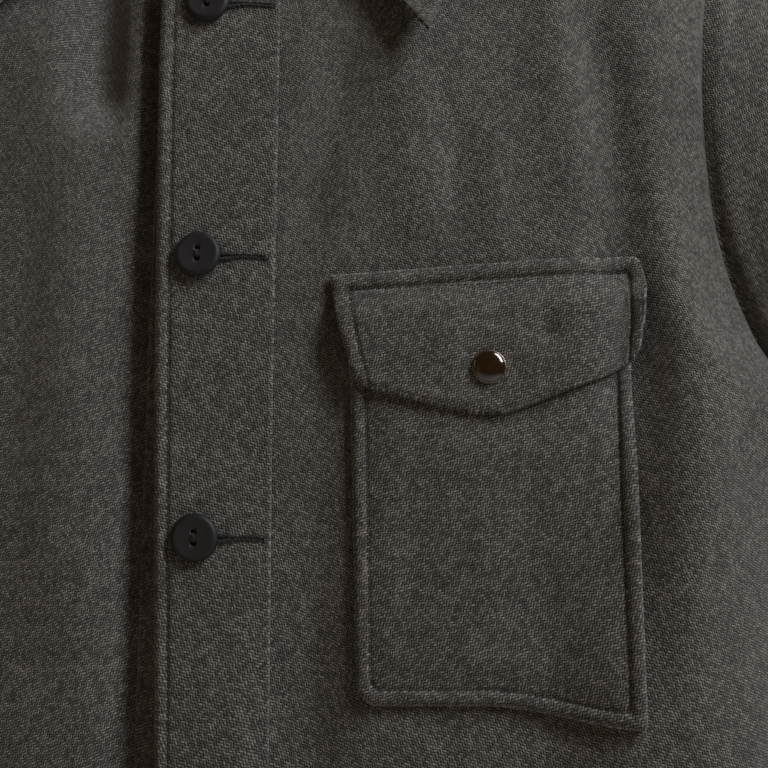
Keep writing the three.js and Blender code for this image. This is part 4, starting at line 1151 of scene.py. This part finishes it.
def button_mesh():
    """A dished button with a thick rim and two holes, one above the other."""
    disc = add_mesh("button_blank", *lathe(BUTTON_PROFILE, 96), MATERIALS["button"])
    apart, radius = BUTTON_HOLE["apart"], BUTTON_HOLE["radius"]
    flare = ((0, 2.25), (0.12, 2.42), (0.5, 2.75), (0.6, 4))
    pin = [(0, -1), (radius, -1), *((radius + out, high) for out, high in flare), (0, 4)]
    for n in (-1, 1):
        points, faces = lathe(pin, 24)
        tool = add_mesh("hole", points + np.array([0, n * apart / 2, 0]), faces, MATERIALS["button"])
        cut = disc.modifiers.new("hole", "BOOLEAN")
        cut.object, cut.solver = tool, "EXACT"
        bpy.context.view_layer.update()
        mesh = bpy.data.meshes.new_from_object(disc.evaluated_get(bpy.context.evaluated_depsgraph_get()))
        disc.modifiers.clear()
        disc.data = mesh
        bpy.data.objects.remove(tool)
    points = np.array([v.co for v in disc.data.vertices]) * 1000 + ORIGIN
    polygons = [np.array([p.vertices[:]]) for p in disc.data.polygons]
    bpy.data.objects.remove(disc)
    return points, polygons


def tilted(normal, tilt, turn):
    """A direction leant over by some degrees, towards a turn round it."""
    side, up = upright(normal)
    lean = side * math.cos(math.radians(turn)) + up * math.sin(math.radians(turn))
    return unit(normal + lean * math.tan(math.radians(tilt)))


# Materials


class Recipe:
    """Builds one material from nodes."""

    def __init__(self, name, **surface):
        self.material = bpy.data.materials.new(name)
        self.material.use_nodes = True
        self.nodes = self.material.node_tree.nodes
        self.links = self.material.node_tree.links
        self.shader = self.nodes["Principled BSDF"]
        for key, value in surface.items():
            self.shader.inputs[key.replace("_", " ")].default_value = value

    def put(self, kind, outputs=0, settings=None, **inputs):
        node = self.nodes.new(kind)
        for key, value in (settings or {}).items():
            setattr(node, key, value)
        for key, value in inputs.items():
            self.join(value, node.inputs[key.replace("_", " ") if not key.startswith("n") else int(key[1:])])
        return node.outputs[outputs]

    def join(self, value, socket):
        if isinstance(value, bpy.types.NodeSocket):
            self.links.new(value, socket)
        else:
            socket.default_value = value

    def operate(self, kind, operation, values):
        node = self.nodes.new(kind)
        node.operation = operation
        for n, value in enumerate(values):
            self.join(value, node.inputs[n])
        return node.outputs[0]

    def math(self, operation, *values):
        return self.operate("ShaderNodeMath", operation, values)

    def vector(self, operation, *values):
        return self.operate("ShaderNodeVectorMath", operation, values)

    def times_plus(self, value, factor, more):
        return self.math("MULTIPLY_ADD", value, factor, more)

    def noise(self, vector, scale, detail=2.0, roughness=0.5, colour=False):
        inputs = {"Vector": vector, "Scale": scale, "Detail": detail, "Roughness": roughness}
        return self.put("ShaderNodeTexNoise", int(colour), **inputs)

    def own_place(self):
        return self.put("ShaderNodeTexCoord", 3)

    def surface(self, socket, value):
        self.join(value, self.shader.inputs[socket])

    def bump(self, strength, distance, height):
        inputs = {"Strength": strength, "Distance": distance, "Height": height}
        self.surface("Normal", self.put("ShaderNodeBump", **inputs))

    def combine(self, x, y, z):
        return self.put("ShaderNodeCombineXYZ", n0=x, n1=y, n2=z)

    def blend(self, share, a, b):
        """a where share is 0 and b where it is 1, for numbers."""
        return self.times_plus(self.math("SUBTRACT", b, a), share, a)

    def ramp(self, value, *stops):
        node = self.nodes.new("ShaderNodeValToRGB")
        self.join(value, node.inputs[0])
        elements = node.color_ramp.elements
        while len(elements) < len(stops):
            elements.new(0.5)
        for element, (place, colour) in zip(elements, stops):
            element.position = place
            element.color = (*colour, 1)
        return node.outputs[0]


WARP_PITCH = 0.00090
WEFT_PITCH = 0.00092
YARN_DARK = (0.010, 0.0091, 0.0080)
YARN_DEEP = (0.030, 0.0277, 0.0246)
YARN_MIDDLE = (0.068, 0.0635, 0.0570)
YARN_PALE = (0.140, 0.1315, 0.1185)
YARN_LIGHT = (0.26, 0.246, 0.224)


def wool(name, way):
    """Brushed melange wool in a two-and-two twill. Its wales rise to the right where way is 1."""
    r = Recipe(name, Roughness=0.92, Sheen_Weight=0.18, Sheen_Roughness=0.45, Specular_IOR_Level=0.18)
    r.shader.inputs["Sheen Tint"].default_value = (0.9, 0.88, 0.84, 1)
    place = r.put("ShaderNodeTexCoord", 2)
    scaled = r.vector("MULTIPLY", place, (1 / WARP_PITCH, 1 / WEFT_PITCH, 0))
    stray = r.vector("SUBTRACT", r.noise(scaled, 0.16, 2.0, 0.55, True), (0.5, 0.5, 0.5))
    scaled = r.vector("MULTIPLY_ADD", stray, (1.1, 1.1, 0), scaled)
    split = r.nodes.new("ShaderNodeSeparateXYZ")
    r.join(scaled, split.inputs[0])
    a, b = split.outputs[0], split.outputs[1]
    i, j = r.math("FLOOR", a), r.math("FLOOR", b)
    in_a, in_b = r.math("FRACT", a), r.math("FRACT", b)
    order = r.times_plus(i, float(way), j)
    phase = r.math("FLOORED_MODULO", order, 4.0)
    warp = r.math("LESS_THAN", phase, 1.5)
    float_number = r.math("FLOOR", r.math("DIVIDE", r.math("ADD", order, 0.5), 4.0))
    warp_t = r.math("MULTIPLY", r.math("ADD", phase, in_b), 0.5)
    start = r.math("SUBTRACT", phase, 2.0) if way > 0 else r.math("SUBTRACT", 3.0, phase)
    weft_t = r.math("MULTIPLY", r.math("ADD", start, in_a), 0.5)
    t = r.blend(warp, weft_t, warp_t)
    w = r.blend(warp, in_b, in_a)
    off_t = r.times_plus(t, 2.0, -1.0)
    straight = r.times_plus(w, 2.0, -1.0)
    off_w = r.times_plus(off_t, -0.55 * way, straight)
    flat_w = r.math("SUBTRACT", 1.0, r.math("MULTIPLY", off_w, off_w))
    round_w = r.math("SQRT", r.math("MAXIMUM", flat_w, 0.0))
    round_t = r.math("SUBTRACT", 1.0, r.math("POWER", r.math("ABSOLUTE", off_t), 3.0))
    high = r.math("MULTIPLY", round_w, r.times_plus(round_t, 0.7, 0.3))
    yarn = r.blend(warp, j, i)
    float_place = r.combine(yarn, float_number, warp)
    own = r.put("ShaderNodeTexWhiteNoise", 0, {"noise_dimensions": "3D"}, Vector=float_place)
    run = r.blend(warp, a, b)
    across, lengthways = r.math("MULTIPLY", w, 2.2), r.math("MULTIPLY", run, 0.9)
    fibre_place = r.combine(across, lengthways, r.times_plus(warp, 7.0, yarn))
    fibre = r.noise(fibre_place, 1.0, 3.0, 0.6)
    slub = r.noise(r.combine(r.math("MULTIPLY", run, 0.11), yarn, warp), 1.0, 2.0)
    fuzz = r.noise(place, 1700.0, 3.0, 0.65)
    patch = r.noise(place, 150.0, 3.0, 0.55)
    broad = r.noise(place, 24.0, 2.0, 0.5)
    tone = r.times_plus(warp, -0.03, 0.2)
    tone = r.times_plus(own, 0.28, tone)
    # high lightens the middle of each float and darkens its edges: painted shade in the gaps between the
    # threads.
    for part, middle, weight in (
        (fibre, 0.5, 0.85), (slub, 0.5, 0.22), (fuzz, 0.5, 0.75), (patch, 0.5, 0.3), (broad, 0.5, 0.16),
        (high, 0.65, 0.6),
    ):
        tone = r.times_plus(r.math("SUBTRACT", part, middle), weight, tone)
    colour = r.ramp(
        tone, (0.0, YARN_DARK), (0.22, YARN_DEEP), (0.42, YARN_MIDDLE), (0.62, YARN_PALE), (0.95, YARN_LIGHT)
    )
    r.surface("Base Color", colour)
    raised = r.times_plus(fuzz, 0.7, r.times_plus(fibre, 0.45, high))
    r.bump(1.0, 0.0003, raised)
    return r.material


def thread(name, colour):
    r = Recipe(name, Roughness=0.8, Sheen_Weight=0.1, Specular_IOR_Level=0.25)
    place = r.own_place()
    twist = r.noise(place, 2600.0, 2.0)
    low = tuple(c * 0.6 for c in colour)
    r.surface("Base Color", r.ramp(twist, (0.3, low), (0.7, colour)))
    r.bump(0.5, 0.0001, twist)
    return r.material


def horn(name):
    """The buttons: a plum-grey face and a darker rim, whose darkness is painted shade round the button's
    edge.
    """
    r = Recipe(name, Specular_IOR_Level=0.26)
    place = r.own_place()
    cloud = r.noise(place, 220.0, 4.0, 0.6)
    in_box = r.put("ShaderNodeTexCoord", 0)
    from_middle = r.vector("MULTIPLY_ADD", in_box, (2.0, 0.0, 2.0), (-1.0, 0.0, -1.0))
    dot = {"operation": "DOT_PRODUCT"}
    radius = r.math("SQRT", r.put("ShaderNodeVectorMath", 1, dot, n0=from_middle, n1=from_middle))
    tone_pattern = r.times_plus(r.math("SUBTRACT", cloud, 0.5), 0.1, radius)
    # The rim's darker colour is painted shade round the button's edge; the face's plum-grey is the horn's
    # own.
    face, rim = (0.0105, 0.0098, 0.0112), (0.0055, 0.0050, 0.0057)
    r.surface("Base Color", r.ramp(tone_pattern, (0.76, face), (0.86, rim)))
    grain = r.noise(place, 1900.0, 3.0)
    r.surface("Roughness", r.times_plus(cloud, 0.2, 0.5))
    r.bump(0.18, 0.0001, grain)
    return r.material


def enamel(name):
    """The snap's cap: glossy, very dark brown."""
    r = Recipe(name, Specular_IOR_Level=0.6, Coat_Weight=0.4, Coat_Roughness=0.04)
    place = r.own_place()
    cloud = r.noise(place, 300.0, 3.0)
    low, high = (0.005, 0.0025, 0.0012), (0.010, 0.0050, 0.0024)
    r.surface("Base Color", r.ramp(cloud, (0.3, low), (0.75, high)))
    r.surface("Roughness", r.times_plus(r.noise(place, 2500.0, 2.0), 0.1, 0.08))
    return r.material


def metal(name):
    r = Recipe(name, Metallic=1.0)
    place = r.own_place()
    tone_pattern = r.noise(place, 900.0, 3.0)
    low, high = (0.13, 0.10, 0.075), (0.30, 0.25, 0.19)
    r.surface("Base Color", r.ramp(tone_pattern, (0.3, low), (0.7, high)))
    r.surface("Roughness", r.times_plus(tone_pattern, 0.25, 0.22))
    return r.material


def plain(name, low, high, scale):
    """The floor: pale and faintly uneven."""
    r = Recipe(name, Roughness=0.9)
    place = r.own_place()
    r.surface("Base Color", r.ramp(r.noise(place, scale, 3.0), (0.3, low), (0.7, high)))
    return r.material


MATERIALS = {
    "rising": wool("wool_rising_twill", 1),
    "falling": wool("wool_falling_twill", -1),
    "thread": thread("sewing_thread", (0.026, 0.0235, 0.020)),
    "black_thread": thread("buttonhole_thread", (0.012, 0.011, 0.0105)),
    "button": horn("button_horn"),
    "snap": enamel("snap_enamel"),
    "metal": metal("snap_metal"),
    "floor": plain("pale_floor", (0.62, 0.61, 0.59), (0.66, 0.65, 0.63), 6.0),
}

# The jacket

SHAPES = {panel: panel_shape(panel) for panel in ("left", "right", "back")}


def place_panels():
    cloth("left_front", SHAPES["left"])
    cloth("right_front", SHAPES["right"], "falling")
    cloth("back", SHAPES["back"])


def place_sleeves():
    for side, name in ((1, "left"), (-1, "right")):
        s = sleeve_shape(side)
        cloth(f"{name}_sleeve", s, closed=True)
        line = np.argmin(np.abs(s["hem"][0] - CUFF_TURN))
        ring = lambda a: np.concatenate([a[:, line], a[:1, line]])
        trim(f"{name}_cuff_stitches", [stitches(ring(s["outer"]), ring(s["normals"]))])


def place_collar():
    places = neck_places(EDGE_X, BAND_EDGE_X)
    outer = np.stack([stand_point(places, share) for share in np.linspace(0, 1, 12)], 1)
    inner = outer - places["out"][:, None] * STAND_CLOTH
    uv = np.stack([lengths(outer, 0), lengths(outer, 1)], -1)
    cloth("collar_stand", {"outer": outer, "inner": inner, "uv": uv})
    leaf = leaf_shape()
    cloth("collar_leaf", leaf)
    trim("collar_stitches", [leaf_stitching(leaf)])


def leaf_stitching(leaf):
    """The stitching along the leaf's lower edge."""
    depth = leaf["fall"][:, -1:] - leaf["fall"]
    line = np.argmin(np.abs(depth - LEAF_STITCH_IN), axis=1)
    keep = np.arange(7, len(line) - 7)
    return stitches(leaf["outer"][keep, line[keep]], leaf["normals"][keep, line[keep]])


def place_bands():
    cloth("placket", strip_shape("left", 1, edge_x, PLACKET_INNER, PLACKET_CLOTH, 0.4))
    band_edge = lambda down: np.full(np.shape(down), float(BAND_EDGE_X))
    cloth("button_band", strip_shape("right", -1, band_edge, BAND_INNER, BAND_CLOTH, 2.4), "falling")


def place_pocket():
    cloth("chest_pocket", pocket_shape(), "falling")
    cloth("pocket_flap", flap_shape(), "falling")


def placket_high(x, down):
    """How far the placket's outer surface stands off the left front."""
    share = (x - edge_x(down)) / (PLACKET_INNER - edge_x(down))
    return LAYER_LOW + PLACKET_CLOTH + STRIP_PROUD * (1 - share)


def place_stitching():
    down = np.arange(FRONT_NECK_DROP + 4, HEM_DROP - 8, 1.2)
    x = edge_x(down) + STITCH_IN
    high = placket_high(x, down) - GROOVE["deep"]
    trim("placket_stitches", [stitches(*on_left_front(x, down, high))])
    place_pocket_stitching()
    place_flap_stitching()
    hems = []
    for shape in SHAPES.values():
        line = np.argmin(np.abs(shape["hem"][0] - HEM_TURN))
        hems.append(stitches(shape["outer"][:, line], shape["normals"][:, line]))
    trim("hem_stitches", hems)


def place_pocket_stitching():
    """Down the pocket's left side, along its bottom and up its right side."""
    inside = POCKET_BAND
    mouth, t = POCKET["mouth_down"] + 8, np.linspace(0, 1, 120)
    low_left = pocket_bottom(np.array(0.1)) - inside
    low_right = pocket_bottom(np.array(0.94)) - inside
    left_x = lambda d: pocket_side("left", d) + inside
    right_x = lambda d: pocket_side("right", d) - inside
    left = mix(mouth, low_left - 1, t)
    bottom = np.where(t < 0.08, low_left, pocket_bottom(mix(0.055, 0.945, t)) - inside)
    right = mix(low_right - 1, mouth, t)
    parts = [
        on_pocket(left_x(left), left),
        on_pocket(mix(left_x(low_left), right_x(low_right), t), bottom),
        on_pocket(right_x(right), right),
    ]
    trim("pocket_stitches", parts)


def place_flap_stitching():
    """Along the flap's top, then down its left and its right side, by shares of its two sizes."""
    t = np.linspace(0, 1, 120)
    one = np.ones(len(t))
    parts = []
    for across, downward in (
        (mix(0.05, 0.95, t), FLAP_STITCH_IN / 48 * one),
        (0.05 * one, mix(FLAP_STITCH_IN / 46, 0.85, t)),
        (0.948 * one, mix(FLAP_STITCH_IN / 40, 0.84, t)),
    ):
        x, down, top, distances = flap_place(across, downward)
        parts.append(stitches(*on_left_front(x, down, flap_high(x, down, top, distances))))
    trim("flap_stitches", parts)


def on_pocket(x, down):
    """Stitches along a line on the pocket."""
    left, right = pocket_side("left", down), pocket_side("right", down)
    share = (x - left) / (right - left)
    high = pocket_high(x, down, (x - left, right - x, pocket_bottom(share) - down))[0]
    return stitches(*on_left_front(x, down, high))


def place_buttons():
    points, faces = button_mesh()
    for n, (down, x, tilt, turn) in enumerate(zip(*BUTTONS.values()), 1):
        top = placket_high(x, np.array(down)) + 2 * BUTTON_GAP
        middle, normal = on_left_front(x, down, top)
        normal = tilted(normal, tilt, turn)
        add_button(f"button_{n}", points, faces, middle, normal)
        trim(f"buttonhole_{n}", list(buttonhole(x, down, n)), "black_thread")
    places = neck_places(EDGE_X, BAND_EDGE_X)
    near = np.argmin(np.abs(places["point"][:60, 0]))
    middle = (stand_point(places, 0) + stand_point(places, 1))[near] / 2
    lean = math.radians(STAND_FRONT_LEAN)
    normal = np.array([0, -math.cos(lean), math.sin(lean)])
    add_button("button_neck", points, faces, middle + normal * 2 * BUTTON_GAP, normal)


def add_button(node, points, faces, middle, normal):
    piece = add_mesh(node + "_horn", stand_on(points, middle, normal), faces, MATERIALS["button"])
    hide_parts(node)
    apart = BUTTON_HOLE["apart"] / 2
    parts = []
    for side in (-0.32, 0.32):
        t = np.linspace(-1, 1, 9)
        path = at(np.full(9, side), t * apart, 2.78 - 1.4 * t**8)
        size = {"pitch": ONE_ONLY, "long": float(lengths(path, 0)[-1]) - 0.5, "thick": 0.3}
        parts.append(stitches(stand_on(path, middle, normal), np.tile(normal, (9, 1)), 0, size))
    trim(node + "_thread", parts, "black_thread")


def buttonhole(button_x, button_down, seed):
    """A worked buttonhole: black whipped threads, thick by the button and frayed at the far end."""
    rng = np.random.default_rng(40 + seed)
    start = button_x + HOLE_FROM_BUTTON
    t = np.linspace(0, 1, 6)
    for x in np.arange(start, HOLE_END, HOLE_THREAD_GAP):
        past = (x - start) / (HOLE_END - start)
        down = button_down + HOLE_LOW - (x - button_x) * HOLE_SLOPE * (1.4 - past)
        thick = float(mix(0.5, 0.3, smooth(np.array(past * 1.5))))
        high = placket_high(x, np.array(down))
        for side in (-1, 1):
            if rng.random() < 0.3 * past:
                continue
            long = float(mix(2.3, 1.2, smooth(np.array(past * 2)))) * (0.7 + 0.6 * rng.random())
            sway = 0.9 * (rng.random() - 0.5)
            path_x = x + 0.15 * rng.standard_normal() + t * sway
            path_down = down + side * t * long + 0.12 * rng.standard_normal()
            points, normals = on_left_front(path_x, path_down, high + 0.35 - 0.35 * t**2)
            yield stitches(points, normals, 0.0, {"pitch": ONE_ONLY, "long": long * 0.85, "thick": thick})
    for lane in (-0.16, 0.1, 0.24):
        x = np.linspace(start, HOLE_END - 3 * rng.random(), 30)
        past = (x - start) / (HOLE_END - start)
        down = button_down + HOLE_LOW + lane - (x - button_x) * HOLE_SLOPE * (1.4 - past)
        down = down + 0.12 * pucker(x * 2.2, seed + 9 * lane)
        points, normals = on_left_front(x, down, placket_high(x, down) + 0.05)
        long = float(lengths(points, 0)[-1])
        yield stitches(points, normals, 0.0, {"pitch": ONE_ONLY, "long": long - 0.5, "thick": 0.3})


def place_snap():
    high = POCKET_GAP + FLAP_RISE + FLAP_CLOTH + BUTTON_GAP - 0.6
    middle, normal = on_left_front(SNAP["x"], SNAP["down"], high)
    r = SNAP["radius"]
    turn = np.linspace(0, math.pi / 2, 22)
    dome = [(r * math.cos(a) ** 0.9, 0.75 + (SNAP["high"] - 0.75) * math.sin(a)) for a in turn[:-1]]
    cap = lathe([(0, 0.3), (r - 0.3, 0.3), (r, 0.55), *dome, (0, SNAP["high"])], 96)
    piece = add_mesh("snap_dome", stand_on(cap[0], middle, normal), cap[1], MATERIALS["snap"])
    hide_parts("snap_cap")
    rim = [(r, 0), (r + 0.28, 0.2), (r + 0.3, 0.45), (r + 0.08, 0.66), (r - 0.6, 0.6)]
    ring = lathe([(0, 0), *rim, (0, 0.6)], 96)
    piece = add_mesh("snap_ring", stand_on(ring[0], middle, normal), ring[1], MATERIALS["metal"])


# Camera, light and floor

VIEW = {"target": (76, -57, -286.2), "from": (76, -472.2, -350.0), "lens": 49.64, "sensor": 36}
FLOOR_CLEAR = 250
# Name, metres from the view's target, sizes, watts and colour
LIGHTS = (
    ("key", (1.05, -0.68, 1.08), (0.45, 1.0), 45, (0.84, 0.885, 0.92)),
    ("fill", (-1.5, -1.6, -0.3), (1.6, 1.6), 1.0, (1.0, 0.7, 0.45)),
    ("side", (-1.9, 0.5, 0.7), (1.2, 1.2), 18, (1.0, 0.95, 0.9)),
    ("back", (0.3, 2.2, 1.1), (1.6, 1.6), 40, (1.0, 0.97, 0.94)),
)
WORLD = {"colour": (1.0, 0.53, 0.18, 1), "strength": 0.14}


def aim(thing, place, target):
    thing.location = Vector(place)
    thing.rotation_mode = "QUATERNION"
    thing.rotation_quaternion = (Vector(target) - Vector(place)).to_track_quat("-Z", "Y")
    bpy.context.scene.collection.objects.link(thing)


def place_camera():
    data = bpy.data.cameras.new("camera")
    data.lens, data.sensor_width = VIEW["lens"], VIEW["sensor"]
    data.clip_start = 0.02
    camera = bpy.data.objects.new("camera", data)
    aim(camera, to_frame(VIEW["from"]), to_frame(VIEW["target"]))
    bpy.context.scene.camera = camera


def place_light(name, offset, size, energy, colour):
    data = bpy.data.lights.new(name, "AREA")
    data.shape, data.energy, data.color = "RECTANGLE", energy, colour
    data.size, data.size_y = size
    target = to_frame(VIEW["target"])
    aim(bpy.data.objects.new(name, data), target + np.array(offset), target)


def place_stage():
    low = float(CAD_BOX[0].z) - FLOOR_CLEAR / 1000
    bpy.ops.mesh.primitive_plane_add(size=12, location=(0, 0, low))
    floor = bpy.context.object
    floor.name = "floor"
    floor.data.materials.append(MATERIALS["floor"])
    floor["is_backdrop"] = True
    for light in LIGHTS:
        place_light(*light)
    world = bpy.data.worlds.new("world")
    world.use_nodes = True
    background = world.node_tree.nodes["Background"]
    background.inputs[0].default_value = WORLD["colour"]
    background.inputs[1].default_value = WORLD["strength"]
    bpy.context.scene.world = world
    bpy.context.scene.view_settings.view_transform = "Standard"


place_camera()
place_stage()
place_panels()
place_sleeves()
place_collar()
place_bands()
place_pocket()
place_stitching()
place_buttons()
place_snap()

sizes = {"cad": [list(corner) for corner in CAD_BOX], "visual": [list(corner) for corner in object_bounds()]}
